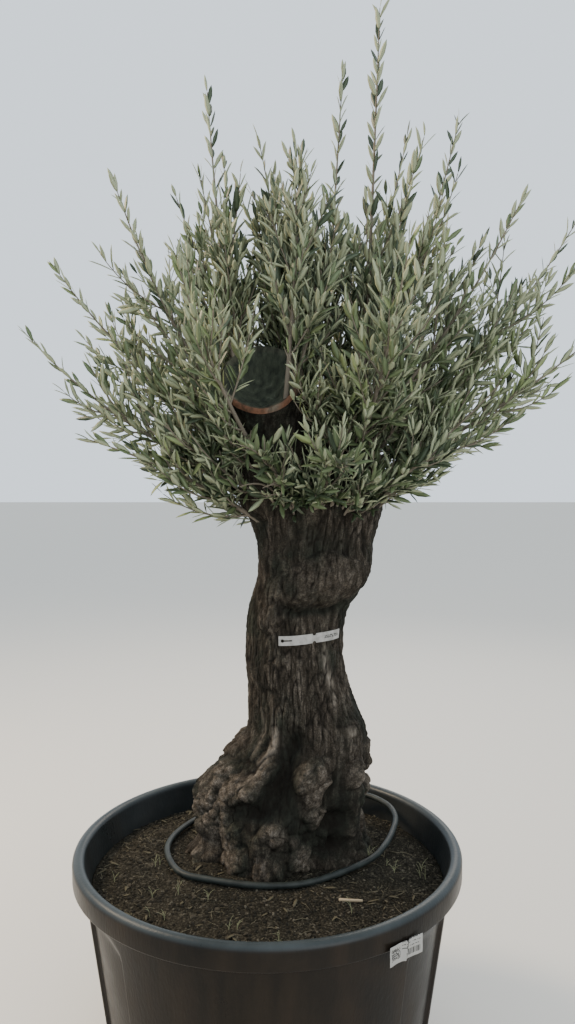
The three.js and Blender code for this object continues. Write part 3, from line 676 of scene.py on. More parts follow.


# %% [markdown]
# Old bark is many colours at once: dark plates with paler fibres, grey lichen, worn pale knobs, and
# moss, and its hollows and cracks are painted nearly black with painted shade. Painting them would be
# one way. Here each is a short ramp over the same fibre noise and is laid on by a point attribute
# that the shape has set.


# %% Bark and wood materials
def make_bark():
    # Olive bark: grey brown, furrowed, paler on knobs, and painted nearly black with painted shade in its
    # cracks and hollows
    material = new_material("olive_bark", "6b6155", 0.92, Specular_IOR_Level=0.12)
    tree = material.node_tree
    fibres = pattern(tree, 60, 6, stretch=(1, 1, 0.16), Roughness=0.7)
    plates = first_of(tree, RAMP, {0: fibres}, stops=[(0.3, "1f1c17"), (0.5, "463f36"), (0.68, "786f64")])
    lichen = first_of(tree, RAMP, {0: fibres}, stops=[(0.35, "191a16"), (0.65, "3d3f35")])
    grown_over = first_of(tree, RAMP, {0: pattern(tree, 9, 4)}, stops=[(0.44, "000000"), (0.6, "ffffff")])
    crumble = pattern(tree, 70, 6, Roughness=0.7)
    knobs = first_of(tree, RAMP, {0: crumble}, stops=[(0.3, "3a332b"), (0.5, "635a4f"), (0.7, "8a8176")])
    base = laid_over(tree, plates, (grown_over, lichen), ("knob", knobs))
    fine = pattern(tree, 260, 4, Roughness=0.8)
    speckle = first_of(tree, RAMP, {0: fine}, stops=[(0.36, "4a4a4a"), (0.5, "bcbcbc"), (0.6, "ffffff")])
    base = laid_over(tree, base, (0.75, speckle), blend="MULTIPLY")
    # Painted shade: moss and shade in the dark patches, and near black in the cracks
    moss_and_shade = first_of(tree, RAMP, {0: fibres}, stops=[(0.35, "141511"), (0.65, "2c2e27")])
    bare = first_of(tree, RAMP, {0: fibres}, stops=[(0.35, "544d43"), (0.65, "938a7e")])
    base = laid_over(tree, base, ("damp", moss_and_shade), ("bare_wood", bare), ("crack_shade", colour("16130f")))
    grain = laid_over(tree, fibres, (0.5, pattern(tree, 200, 5, Roughness=0.75)))
    to_shader(material, Base_Color=base, height=(grain, 0.008))
    return material


def make_old_cut():
    # The sawn face of a limb, weathered dark, with a callus rim of warmer wood that is warmest on the lower
    # lip as painted sunlight
    material = new_material("weathered_cut_wood", "2f271f", 0.9, Specular_IOR_Level=0.2)
    tree = material.node_tree
    grain = pattern(tree, 45, 5, stretch=(1, 1, 0.4), Roughness=0.65)
    heart = first_of(tree, RAMP, {0: grain}, stops=[(0.35, "262a24"), (0.6, "42473b"), (0.75, "5e6357")])
    fresh_and_sunlit = first_of(tree, RAMP, {0: grain}, stops=[(0.35, "3e3126"), (0.6, "7a5541")])
    silvered = first_of(tree, RAMP, {0: grain}, stops=[(0.35, "4a443a"), (0.65, "8b8373")])
    healing = first_of(tree, RAMP, {0: pattern(tree, 9, 2)}, stops=[(0.45, "000000"), (0.55, "ffffff")])
    callus_and_sunlit_lip = laid_over(tree, silvered, (healing, fresh_and_sunlit))
    base = laid_over(tree, heart, ("callus_and_sunlit_lip", callus_and_sunlit_lip))
    to_shader(material, Base_Color=base, height=(grain, 0.005))
    return material


bark_material, cut_material = make_bark(), make_old_cut()

# %% [markdown]
# The trunk's rings start a little under the soil and end in a low dome that the limbs grow out of.
# Its hollows are pushed in deeper than in the solid and painted nearly black with painted shade.


# %% Trunk
TRUNK_GRID = dict(rows=250, sides=396, bottom=-14, top=TRUNK_HEIGHT - 4, crowding=1.15)
HEAD_DOME = dict(rows=24, rise=46)
# The depth at which a hollow counts as full, and how much deeper than the solid's it is here.
FULL_HOLLOW = 24
HOLLOW_DEEPENED = 6


def fields_on(rows, sides, closing, fields):
    """Point attributes from pairs of values: on the bark, and on the rows that close the shell."""
    marks = {}
    for key, (on_bark, on_end) in fields.items():
        on_bark = np.broadcast_to(on_bark, rows * sides).reshape(rows, sides)
        marks[key] = with_poles(np.vstack([on_bark, np.broadcast_to(on_end, (closing, sides))]))
    return marks


def make_trunk():
    sides, rows = TRUNK_GRID["sides"], TRUNK_GRID["rows"]
    bottom, top = TRUNK_GRID["bottom"], TRUNK_GRID["top"]
    heights = bottom + (top - bottom) * np.linspace(0, 1, rows) ** TRUNK_GRID["crowding"]
    h, angle = [grid.ravel() for grid in np.meshgrid(heights, angles_round(sides), indexing="ij")]
    inside = np.clip(h, 0, TRUNK_HEIGHT)
    centre = trunk_centre(inside) + np.outer(h - inside, UP)
    rough = centre + polar(trunk_radius(angle, inside), angle)
    # Noise pulls every knob and hollow out of its round shape
    torn_angle = angle + 5 * noise_at(rough, 60, 1, 41)
    torn_h = np.clip(inside + 16 * noise_at(rough, 50, 1, 43), 0, TRUNK_HEIGHT)
    radius = trunk_radius(torn_angle, torn_h)
    radius += oval_radius(angle, inside) - oval_radius(torn_angle, torn_h)
    _, dome = knobs_at(torn_angle, torn_h, ALL_KNOBS)
    # Where it is hollow, and where it is knobby: the foot, the head, and patches between them
    place = (torn_angle, torn_h, radius)
    hollow = sum(bump_at(b, *place) for b in HOLLOWS) / -FULL_HOLLOW
    groove = sum(patch_at(groove, *place) for groove in GROOVES)
    deep = np.clip(hollow, 0, 1) ** 1.5 + groove / FULL_HOLLOW
    foot = 1 - smoothstep(250, 420, inside + 70 * noise_at(rough, 110, 1, 23))
    patchy = smoothstep(-0.1, 0.35, noise_at(rough, 130, 1.3, 17))
    head = 0.75 * smoothstep(640, 740, inside) * (1 - 0.5 * smoothstep(840, 920, inside))
    knobby = np.clip(foot + patchy * (head + 0.25), 0, 1) * (1 - 0.6 * np.clip(deep, 0, 1))
    relief, crack_shade, crest = bark(rough, knobby)
    between = foot * (1 - smoothstep(0, 0.4, dome))
    radius = radius + relief - 3 * between - HOLLOW_DEEPENED * np.clip(hollow, 0, 1) - groove
    radius -= 10 * smoothstep(TRUNK_HEIGHT - 30, TRUNK_HEIGHT, h)
    rings = (centre + polar(radius, angle)).reshape(rows, sides, 3)
    middle, edge = trunk_centre(TRUNK_HEIGHT), rings[-1]
    shares = np.linspace(0.96, 0.04, HEAD_DOME["rows"])
    dome_rings = [middle + (edge - middle) * k + UP * HEAD_DOME["rise"] * (1 - k**2) for k in shares]
    # What the material reads: painted shade in cracks, between knobs, in hollows and on the head's dome;
    # patches of moss and painted shade; pale worn knobs; and strips of bare wood
    shade = np.clip(crack_shade + 0.3 * between + 0.3 * smoothstep(0.4, 1.4, deep), 0, 1)
    place = (torn_angle, torn_h, radius)
    # Dark patches: moss, and painted shade where shade lies in hollows and under burls
    damp = sum(patch_at(patch, *place) for patch in DAMP_AND_SHADE)
    damp = np.clip(damp * (1.1 + 0.5 * noise_at(rough, 30, 1.5, 83)), 0, 1)
    pale = smoothstep(-0.35, 0.25, noise_at(rough, 95, 1, 71)) * smoothstep(0.1, 0.8, dome)
    knob = np.clip(foot * pale * (0.1 + 1.7 * crest**1.5) + 0.7 * head * dome * pale, 0, 1)
    strip = sum(patch_at(strip, *place) for strip in BARE_STRIPS)
    fields = {"crack_shade": (shade, 0.6), "knob": (knob, 0), "bare_wood": (strip, 0), "damp": (damp, 0)}
    marks = fields_on(rows, sides, HEAD_DOME["rows"], fields)
    return mesh_object("olive_trunk", *shell([*rings, *dome_rings]), [bark_material], attributes=marks)


trunk = make_trunk()
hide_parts("trunk")
print("trunk faces", len(trunk.data.polygons))

# %% [markdown]
# Each limb is a tube of bark rings that stops at a slanting saw cut: every line of points along the
# tube ends where it meets the cut's plane. From there rings run inwards over a rolled callus, the
# lip that a tree grows round an old wound, and down into the dark hollow heart.


# %% Limbs
# Steps of every path that a limb or a stem follows.
PATH_STEPS = 28
BOUGH_GRID = dict(rows=96, sides=200, foot=-0.24)
# The callus round a cut: how far it stands out, where, and how wide. The heart behind it is sunk.
CALLUS = dict(rise=9, at=0.93, width=0.06)
HEART_DEPTH = 46


def bough_path(bough):
    start = np.array([*bough["foot"], HEAD + 2 * CLEARANCE])
    end = np.array(bough["tip"], float)
    bend = (start + end) / 2 + 30 * UP
    bend[:2] = start[:2] + (end[:2] - start[:2]) * 0.25
    return bezier_path(start, bend, end, PATH_STEPS)


def bough_radius(bough, share):
    share = np.asarray(share, float)
    lip = 1 + 0.09 * np.exp(-(((1 - share) / 0.12) ** 2))
    return (bough["base"] + (bough["end"] - bough["base"]) * np.clip(share, 0, 1) ** 0.7) * lip


def make_bough(name, bough):
    path = bough_path(bough)
    length = length_of(path)
    tilt = math.radians(bough["tilt"])
    face = polar(math.sin(tilt), bough["facing"], math.cos(tilt))
    sides, rows = BOUGH_GRID["sides"], BOUGH_GRID["rows"]
    tip, heading = along(path, 1)
    out = polar(1, angles_round(sides))
    across = np.array([unit(way - heading * (way @ heading)) for way in out])
    reach = length - bough_radius(bough, 1) * (across @ face) / (heading @ face)
    to_trunk = (trunk_centre(TRUNK_HEIGHT) - path[0]) * (1, 1, 0)
    shares = np.linspace(BOUGH_GRID["foot"], 1, rows)
    rings = []
    for gone in [share * reach for share in shares]:
        spots = place_on(path, np.linspace(0, length, len(path)), gone)
        spots += np.outer(np.minimum(gone, 0), UP) + np.outer(np.maximum(gone - length, 0), heading)
        spots += np.outer(0.4 * smoothstep(0, -70, gone), to_trunk)
        flare = 1 - 0.22 * smoothstep(10, -70, gone) + 0.05 * np.exp(-((gone - 30) / 40) ** 2)
        radius = bough_radius(bough, np.clip(gone / length, 0, 1)) * flare
        rings.append(spots + across * radius[:, None])
    flat = np.array(rings).reshape(-1, 3)
    knobs = 0.5 * smoothstep(0, 0.4, noise_at(flat, 120, 1.4, 29))
    # The bark's crack depth carries painted shade to the limb's material
    relief, crack_shade, knob = bark(flat, knobs)
    knob *= 0.4 * knobs
    calm = np.repeat(1 - 0.6 * smoothstep(0.93, 1, shares), sides)
    rings = (flat + np.tile(across, (rows, 1)) * (0.7 * relief * calm)[:, None]).reshape(rows, sides, 3)
    edge, cut = rings[-1], []
    ratios = np.r_[np.linspace(0.985, 0.8, 10), np.linspace(0.76, 0.04, 26)]
    for k in ratios:
        lip = CALLUS["rise"] * math.exp(-(((k - CALLUS["at"]) / CALLUS["width"]) ** 2))
        depth = HEART_DEPTH * float(smoothstep(0.88, 0.3, k))
        ring = tip + (edge - tip) * k + face * (lip - depth)
        ring += np.outer(7 * smoothstep(0.9, 0.6, k) * noise_at(ring, 24, 1, 3), face)
        cut.append(ring)
    points, faces = shell([*rings, *cut])
    cut_rows = np.repeat(ratios[:, None], sides, axis=1)
    # The callus colour is strongest on the cut's lower lip: callus wood, and painted sunlight on that lip
    low = 0.15 + 0.85 * smoothstep(0.1, 0.75, -unit(edge - tip) @ unit(UP - face * (UP @ face)))
    fields = {"crack_shade": (crack_shade, 0), "knob": (knob, 0), "bare_wood": (0, 0), "damp": (0, 0)}
    fields["callus_and_sunlit_lip"] = (1, smoothstep(0.78, 0.9, cut_rows) * low)
    marks = fields_on(rows, sides, len(cut), fields)
    materials = [bark_material, cut_material]
    limb = mesh_object(f"sawn_limb_{name}", points, faces, materials, attributes=marks)
    material_index = np.zeros(len(faces), int)
    material_index[(rows - 1) * sides : (rows + len(cut) - 1) * sides] = 1
    material_index[-sides:] = 1
    limb.data.polygons.foreach_set("material_index", material_index)
    return limb


limbs = []
for bough_name, bough in BOUGHS.items():
    limb = make_bough(bough_name, bough)
    limbs.append(limb)
    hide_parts(f"bough_{bough_name}")
    print(limb.name, "faces", len(limb.data.polygons))

# %% [markdown]
# ## Two small node trees that repeat things
#
# Thousands of twigs and leaves are the same few things over and over. Geometry Nodes makes them
# from very little: a mesh of edges with a radius at each point becomes tubes, and a cloud of points
# with a heading and a size becomes leaves. Both trees realize what they make, so the result is a
# plain mesh that any export keeps.


# %% Geometry node helpers
def new_geometry_tree(name, marks, **sockets):
    """A tree that takes and gives geometry, its inputs, and the marks that it reads off a mesh.

    Marks and further inputs are given as names and their kinds.
    """
    tree = bpy.data.node_groups.new(name, "GeometryNodeTree")
    tree.interface.new_socket("Geometry", in_out="OUTPUT", socket_type="NodeSocketGeometry")
    for label, kind in {"Geometry": "Geometry", **sockets}.items():
        label = label.replace("_", " ")
        tree.interface.new_socket(label, in_out="INPUT", socket_type=f"NodeSocket{kind}")
    read = {}
    for mark, kind in marks.items():
        read[mark] = first_of(tree, "GeometryNodeInputNamedAttribute", {"Name": mark}, data_type=kind)
    return tree, add_node(tree, "NodeGroupInput").outputs, read


def finish_tree(tree, geometry, *materials):
    """Sets materials one after another, each given as where it goes and what it is, and ends a tree."""
    for where, material in materials:
        settings = {"Geometry": geometry, "Material": material, "Selection": where}
        geometry = first_of(tree, "GeometryNodeSetMaterial", settings)
    add_node(tree, "NodeGroupOutput", {"Geometry": geometry})
    return tree


def copies_at(tree, points, form, rotation, scale):
    """Real copies of an object, one at each point."""
    instance = add_node(tree, "GeometryNodeObjectInfo", {"Object": form}).outputs["Geometry"]
    settings = {"Points": points, "Instance": instance, "Rotation": rotation, "Scale": scale}
    copies = first_of(tree, "GeometryNodeInstanceOnPoints", settings)
    return first_of(tree, "GeometryNodeRealizeInstances", {"Geometry": copies})


def run_tree(obj, tree, **values):
    """Runs a tree on an object and gives the object the result as a plain mesh, leaving no modifier behind.
    """
    modifier = obj.modifiers.new(tree.name, "NODES")
    modifier.node_group = tree
    for item in tree.interface.items_tree:
        key = item.name.replace(" ", "_")
        if item.in_out == "INPUT" and key in values:
            modifier[item.identifier] = values[key]
    sketch, result = obj.data, evaluated_mesh(obj)
    obj.modifiers.clear()
    obj.data = result
    bpy.data.meshes.remove(sketch)


def make_tubes_tree():
    """Edges with a radius become closed tubes. Points marked young take the second material."""
    sockets = dict(Sides="Int", Bark="Material", Young_bark="Material")
    marks = dict(radius="FLOAT", young="FLOAT")
    tree, given, read = new_geometry_tree("Tubes along edges", marks, **sockets)
    curves = first_of(tree, "GeometryNodeMeshToCurve", {"Mesh": given["Geometry"]})
    circle = first_of(tree, "GeometryNodeCurvePrimitiveCircle", {"Resolution": given["Sides"], "Radius": 1.0})
    settings = {"Curve": curves, "Profile Curve": circle, "Scale": read["radius"], "Fill Caps": True}
    tubes = first_of(tree, "GeometryNodeCurveToMesh", settings)
    smooth = first_of(tree, "GeometryNodeSetShadeSmooth", {"Geometry": tubes})
    real = first_of(tree, "GeometryNodeRealizeInstances", {"Geometry": smooth})
    return finish_tree(tree, real, (True, given["Bark"]), (read["young"], given["Young bark"]))


# Each leaf material after the first, the mark that chooses it, and the value that the mark passes.
LEAF_STEPS = [
    ("Green", "tint", 0.5), ("Grey green", "tint", 1.5), ("Olive", "tint", 2.5),
    ("Underside", "underside", 0.5),
]


def make_leaves_tree():
    """A leaf at every point, turned along heading with its upper side to facing, and sized by size."""
    materials = dict.fromkeys(["Deep_green", "Green", "Grey_green", "Olive", "Underside"], "Material")
    marks = dict.fromkeys(["heading", "facing", "size"], "FLOAT_VECTOR")
    marks.update(tint="FLOAT", underside="FLOAT")
    tree, given, read = new_geometry_tree("Leaves on points", marks, Leaf="Object", **materials)
    axes = {"Primary Axis": read["heading"], "Secondary Axis": read["facing"]}
    turn = first_of(tree, "FunctionNodeAxesToRotation", axes, primary_axis="X", secondary_axis="Z")
    leaves = copies_at(tree, given["Geometry"], given["Leaf"], turn, read["size"])
    tints = [(True, given["Deep green"])]
    for label, mark, threshold in LEAF_STEPS:
        settings = {"A": read[mark], "B": threshold}
        chosen = first_of(tree, "FunctionNodeCompare", settings, operation="GREATER_THAN")
        tints.append((chosen, given[label]))
    return finish_tree(tree, leaves, *tints)


tubes_tree, leaves_tree = make_tubes_tree(), make_leaves_tree()

# %% [markdown]
# ## Shoots and leaves
#
# The crown grows by the CAD's rule, carried further. Each mass has one stem that curves from its
# limb to the mass's tip, and shorter ones beside it. Side shoots leave a stem a golden angle apart
# and bend upwards, and here they carry a second order of short twigs. Leaves stand in opposite
# pairs, each pair at right angles to the last, which is what gives an olive shoot its feathery
# look. A shoot or leaf that would come into a neighbour's space or touch a limb is turned,
# shortened or skipped.

# %% Stems of the masses
LIMB_MARGIN = 4
# How deep a stem starts inside the trunk, and inside a limb.
TRUNK_ROOT, LIMB_ROOT = 25, 22
# Between these heights the masses give up the space that they share lower down: by this share of
# it, and by less where the flat top's masses stand close together.
THINNING = (2120, 2380)
GIVEN_UP, GIVEN_UP_BY_FLAT_TOP = 1.1, 0.2


def mass_root_and_tip(limb, up, angle, reach, rise):
    tip = polar(reach, angle, rise) + (*CROWN_AXIS, 0)
    if limb == "trunk":
        centre = trunk_centre(up * TRUNK_HEIGHT)
        degrees = math.degrees(math.atan2(tip[1] - centre[1], tip[0] - centre[0]))
        return centre + polar(float(trunk_radius(degrees, up * TRUNK_HEIGHT)) - TRUNK_ROOT, degrees), tip
    centre, _ = along(bough_path(BOUGHS[limb]), up)
    outward = unit((tip - centre) * (1, 1, 0))
    return centre + outward * (float(bough_radius(BOUGHS[limb], up)) - LIMB_ROOT), tip


def mass_stem(limb, up, angle, reach, rise, arch, share=1.0):
    """The path from a limb towards a mass's tip, or only a share of it."""
    root, tip = mass_root_and_tip(limb, up, angle, reach, rise)
    tip = root + (tip - root) * share
    across = (tip - root) * (1, 1, 0)
    bend = root + across * (0.5 - arch * 0.8)
    bend = bend + UP * ((tip[2] - root[2]) * (0.5 + arch) + max(0, arch) * np.linalg.norm(across))
    return bezier_path(root, bend, tip, PATH_STEPS)


# How long the stems beside the main one are. Those of the flat top reach nearly as high as it.
COMPANION_SHARE = (0.26, 0.62)
TALL_COMPANIONS = dict(top_front=(0.6, 1.0), top_middle=(0.6, 1.0), top_left=(0.5, 0.82))
stems = {name: mass_stem(*mass) for name, mass in MASSES.items()}
stem_names = list(stems)
all_stems = np.array([stems[name] for name in stem_names])


def in_own_space(name, points, slack):
    """True where a point is nearer to its own stem than to any other, give or take slack.

    The slack shrinks near the top, where sky shows between the plumes.
    """
    given_up = GIVEN_UP_BY_FLAT_TOP if name in TALL_COMPANIONS else GIVEN_UP
    slack = slack * (1 - given_up * smoothstep(*THINNING, points[:, 2]))
    away = np.linalg.norm(points[:, None, None] - all_stems[None], axis=-1).min(axis=2)
    own = stem_names.index(name)
    return away[:, own] <= np.delete(away, own, axis=1).min(axis=1) + slack


# An oval way through the leaves, which keeps the left limb's sawn face in sight: its middle, the way
# it runs, its half width and half height, and how far it reaches.
WINDOW = dict(
    middle=np.array([-16.0, -60.0, 1806.0]), toward=unit(np.array([0.04, -1.0, -0.09])),
    size=(80, 80, 52), depth=620,
)


def clear_of_window(points):
    away = points - WINDOW["middle"]
    ahead = away @ WINDOW["toward"]
    beside = np.linalg.norm((away - np.outer(ahead, WINDOW["toward"])) / WINDOW["size"], axis=1)
    return (ahead < 0) | (ahead > WINDOW["depth"]) | (beside > 1)


path_shares = np.linspace(0, 1, PATH_STEPS + 1)
limb_paths = [(bough_path(b), bough_radius(b, path_shares) + LIMB_MARGIN) for b in BOUGHS.values()]


def clear_of_limbs(points):
    h = np.clip(points[:, 2] - SOIL_TOP, 0, TRUNK_HEIGHT)
    away = (points - trunk_centre(h))[:, :2]
    degrees = np.degrees(np.arctan2(away[:, 1], away[:, 0]))
    radius = trunk_radius(degrees, h) + LIMB_MARGIN
    clear = (points[:, 2] > HEAD + 40) | (np.linalg.norm(away, axis=1) > radius)
    clear &= clear_of_window(points)
    for path, reach in limb_paths:
        clear &= (np.linalg.norm(points[:, None] - path[None], axis=-1) > reach).all(axis=1)
    return clear


# %% [markdown]
# The rule is plain code, because it asks before each shoot whether there is room for it. A node
# tree would be quicker, but it would grow leaves through limbs and over the masses' borders.


# %% The growth rule
# Radii at the foot of a stem, a side shoot and a twig, and at a tip, and how strongly shoots bend up.
SHOOT = dict(stem=7.5, side=3.3, twig=1.7, tip=1.1, lift=0.9)
# Side shoots leave a stem this often, up to this share of it.
SIDE_EVERY = 27
LAST_SIDE = 0.62
# Plumes that stand free against the sky carry side shoots only on their lower part. The flat top
# carries them much further up.
PLUMES = dict(
    leader=0.3, top_back=0.35, top_left=0.4, back_high=0.42, top_right=0.45, right_high=0.5,
    left_high=0.5, left_mid=0.5, left_low=0.55, right_mid=0.55, top_front=0.88, top_middle=0.72,
)
# Their length at a stem's foot as a share of the stem, and what is taken off it towards the tip.
SIDE_LENGTH = (0.5, 0.36)
# Twigs: how often, from where to where on a side shoot, and how long against it.
TWIG_EVERY = 75
TWIG = dict(first=0.14, last=0.6, share=0.45, shortest=60, longest=170, tip=0.8, lift=0.6)
# Side shoots that come too near to something are tried again shorter, and turned.
SHORTENED, TURNED = (1, 0.75, 0.5), (0, 40, -40)
# Pairs of leaves stand this far apart.
PAIR_EVERY = 29
# The bare share at the foot of a stem, of a side shoot and of a twig.
BARE_FOOT = (0.4, 0.14, 0.12)
# Leaves are painted lightest at this height and darker above and below it, and lighter on shoots
# that reach further out from the crown's axis: painted light and shade, with some chance in it.
LIGHT_AND_CHANCE = dict(most=0.45, height=1950, fall=600, reach=350, rise=900, chance=0.55)
# A leaf is left out where its middle or its end would be in another mass's space or in a limb.
LEAF_MIDDLE, LEAF_END, LEAF_SLACK = 38, 56, 60
# Stems beside the main one: many round the trunk's head and in the flat top, few in the plumes.
COMPANIONS = 4
CROWDED = dict(
    front_skirt=12, front_low=12, right_skirt=6, front_left=9, front_right=10, top_front=12, top_middle=12,
    top_left=7,
)
SPARSE = dict(leader=1, top_back=1, top_right=1, right_high=3, left_skirt=3)
SHARED_SPACE = 70
# The first stretch of a stem, which may lie inside its limb.
WITHIN_LIMB = 75


def leaving(path, share, turn, spread):
    """Where a shoot leaves a path, and its heading: turned round the path and spread away from it."""
    at, heading = along(path, share)
    out = unit(np.cross(UP, heading))
    turn, spread = math.radians(turn), math.radians(spread)
    out = out * math.cos(turn) + np.cross(heading, out) * math.sin(turn)
    return at, heading * math.cos(spread) + out * math.sin(spread)


def side_path(path, share, turn, spread, length, lift):
    at, heading = leaving(path, share, turn, spread)
    bend = at + heading * length / 2
    upward = unit(heading + UP * lift)
    return bezier_path(at, bend, bend + upward * length / 2, max(3, int(length / 32)))


def try_side(name, path, share, turn, spread, length, lift):
    """The first of some shorter and turned versions that keeps to its space, or none."""
    for shorter in SHORTENED:
        for nudge in TURNED:
            shoot = side_path(path, share, turn + nudge, spread, length * shorter, lift)
            points = shoot[1:]
            if in_own_space(name, points, SHARED_SPACE).all() and clear_of_limbs(points).all():
                return shoot
    return None


def add_side_shoots(name, stem, shoots, random):
    """Side shoots all the way up the leafy part of a stem, and twigs on the lower part of each."""
    stem_length = length_of(stem)
    first = random.uniform(0, 360)
    last = PLUMES.get(name, LAST_SIDE)
    count = int(stem_length * last / SIDE_EVERY)
    for k, share in enumerate(np.linspace(0.05, last, count)):
        length = stem_length * (SIDE_LENGTH[0] - SIDE_LENGTH[1] * share) * random.uniform(0.6, 1.15)
        spread = 40 - 16 * share + random.uniform(-8, 8)
        side = try_side(name, stem, share, first + k * GOLDEN_ANGLE, spread, length, SHOOT["lift"])
        if side is None:
            continue
        shoots.append((side, SHOOT["side"] * (1 - 0.4 * share), SHOOT["tip"], 1))
        length = length_of(side)
        turn = random.uniform(0, 360)
        places = np.arange(TWIG["first"], TWIG["last"] - 0.3 * share, TWIG_EVERY / length)
        for m, place in enumerate(places):
            twig_length = length * TWIG["share"] * (1 - 0.6 * place)
            twig_length = np.clip(twig_length, TWIG["shortest"], TWIG["longest"]) * random.uniform(0.7, 1.2)
            spread = random.uniform(28, 42)
            twig = try_side(name, side, place, turn + m * GOLDEN_ANGLE, spread, twig_length, TWIG["lift"])
            if twig is not None:
                shoots.append((twig, SHOOT["twig"], TWIG["tip"], 2))


def grow_mass(name, seed):
    """Every shoot of a mass: path, radius at foot and tip, and order: stem 0, side shoot 1, twig 2."""
    random = np.random.default_rng(seed)
    shoots = [(stems[name], SHOOT["stem"], SHOOT["tip"], 0)]
    add_side_shoots(name, stems[name], shoots, random)
    limb, up, angle, *rest = MASSES[name]
    sway = 0.03 if limb == "trunk" else 0.18
    for _ in range({**CROWDED, **SPARSE}.get(name, COMPANIONS)):
        beside_up = float(np.clip(up + random.uniform(-sway, sway), 0.06, 0.97))
        beside_angle = angle + random.uniform(-45, 45)
        share = random.uniform(*TALL_COMPANIONS.get(name, COMPANION_SHARE))
        beside = mass_stem(limb, beside_up, beside_angle, *rest, share=share)
        outside = beside[int(WITHIN_LIMB / length_of(beside) * PATH_STEPS) :]
        if in_own_space(name, beside, 2 * SHARED_SPACE).all() and clear_of_limbs(outside).all():
            shoots.append((beside, SHOOT["stem"] * 0.6, SHOOT["tip"], 0))
            add_side_shoots(name, beside, shoots, random)
    return shoots, random


def leaves_of(shoots, random):
    """Foot, heading, facing, size and tint of every leaf on these shoots."""
    rows = []
    for path, _, _, order in shoots:
        length = length_of(path)
        height, reach = path[-1][2], np.linalg.norm(path[-1][:2] - CROWN_AXIS)
        # Painted light and shade: darker low, high and inside the crown, lighter further out
        light_and_chance = LIGHT_AND_CHANCE["most"] - abs(height - LIGHT_AND_CHANCE["height"]) / LIGHT_AND_CHANCE["fall"]
        light_and_chance += (reach - LIGHT_AND_CHANCE["reach"]) / LIGHT_AND_CHANCE["rise"] + random.normal(0, LIGHT_AND_CHANCE["chance"])
        tint = int(np.clip(math.floor(1.1 + light_and_chance), 0, 3))
        shares = np.arange(BARE_FOOT[order], 1 - 0.4 * PAIR_EVERY / length, PAIR_EVERY / length)
        turn = random.uniform(0, 360)
        for k, share in enumerate(shares):
            spread = random.uniform(26, 48) * (1 - 0.4 * share)
            grown = 0.7 + 0.3 * math.sin(math.pi * min(1, 0.2 + 0.66 * share))
            for way in (0, 180):
                at, heading = leaving(path, share, turn + 90 * k + way + random.uniform(-14, 14), spread)
                _, axis = along(path, share)
                rows.append((at, heading, axis, grown * random.uniform(0.8, 1.2), tint))
        at, heading = along(path, 1)
        rows.append((at, heading, UP + heading, 0.75 * random.uniform(0.85, 1.1), tint))
    at, heading, axis = [np.array([row[k] for row in rows]) for k in (0, 1, 2)]
    heading = unit(heading + random.normal(0, 0.1, heading.shape) + 0.16 * UP)
    facing = unit(axis + 0.3 * UP + random.normal(0, 0.42, axis.shape))
    spread_of_size = random.uniform([0.9, 0.85, 0.3], [1.1, 1.25, 1.8], (len(rows), 3))
    size = np.array([row[3] for row in rows])[:, None] * spread_of_size
    return at, heading, facing, size, np.array([row[4] for row in rows])


# %% [markdown]
# One olive leaf is a narrow lance shape, dark grey green above and silvery beneath, folded a little
# along its midrib and curled back at its tip. It is a closed sliver of a few faces, since at this
# size the outline and the two colours are all that shows.


# %% A leaf
def make_leaf(length=60, width=13):
    stations = [(0.2, 0.62), (0.5, 1.0), (0.8, 0.66)]
    points = [(0, 0, 0)]
    for share, wide in stations:
        x, half = share * length, wide * width / 2
        drop = -5.5 * share**2
        points += [(x, half, drop + 1.1), (x, 0, drop), (x, -half, drop + 1.1), (x, 0, drop - 0.7)]
    points.append((length, 0, -5.5))
    faces, under = [], []
    last = len(points) - 1
    for side in range(4):
        a, b = 1 + side, 1 + (side + 1) % 4
        faces += [[0, b, a], [last, last - 4 + side, last - 4 + (side + 1) % 4]]
        faces += [[a + 4 * k, b + 4 * k, b + 4 * k + 4, a + 4 * k + 4] for k in range(len(stations) - 1)]
        under += [side >= 2] * (len(stations) + 1)
    leaf = mesh_object("olive_leaf_form", points, faces)
    flag = leaf.data.attributes.new("underside", "FLOAT", "FACE")
    flag.data.foreach_set("value", np.array(under, float))
    return leaf


leaf_form = make_leaf()
# Upper sides, from deep green to light olive green, chosen by painted light and shade and by chance,
# then undersides, which are felted with silvery hairs
LEAF_COLOURS = dict(
    Deep_green=("olive_leaf_deep_green", "38442d", 0.5),
    Green=("olive_leaf_green", "5a6745", 0.5),
    Grey_green=("olive_leaf_grey_green", "7a8659", 0.55),
    Olive=("olive_leaf_light_olive", "918f58", 0.55),
    Underside=("olive_leaf_underside", "92997b", 0.7),
)
leaf_materials = {key: new_material(*leaf, Specular_IOR_Level=0.45) for key, leaf in LEAF_COLOURS.items()}
# Bark of grown twigs, grey brown and matt, and of this year's shoots, which is still dull green
old_twig = new_material("olive_twig_bark", "6b6356", 0.85)
young_twig = new_material("olive_young_shoot", "7d836a", 0.7)


# %% Grow the crown
def edges_along(name, shoots):
    """Edges along every shoot, with its radius at each point and a mark on what is young."""
    points, radii, young, edges = [], [], [], []
    for path, foot_radius, tip_radius, order in shoots:
        start = sum(len(p) for p in points)
        edges += [(start + i, start + i + 1) for i in range(len(path) - 1)]
        points.append(path)
        radii.append(np.linspace(foot_radius, tip_radius, len(path)) * MM)
        young.append(np.full(len(path), float(order == 2)))
    marks = {"radius": np.concatenate(radii), "young": np.concatenate(young)}
    return mesh_object(name, np.vstack(points), [], edges=edges, attributes=marks)


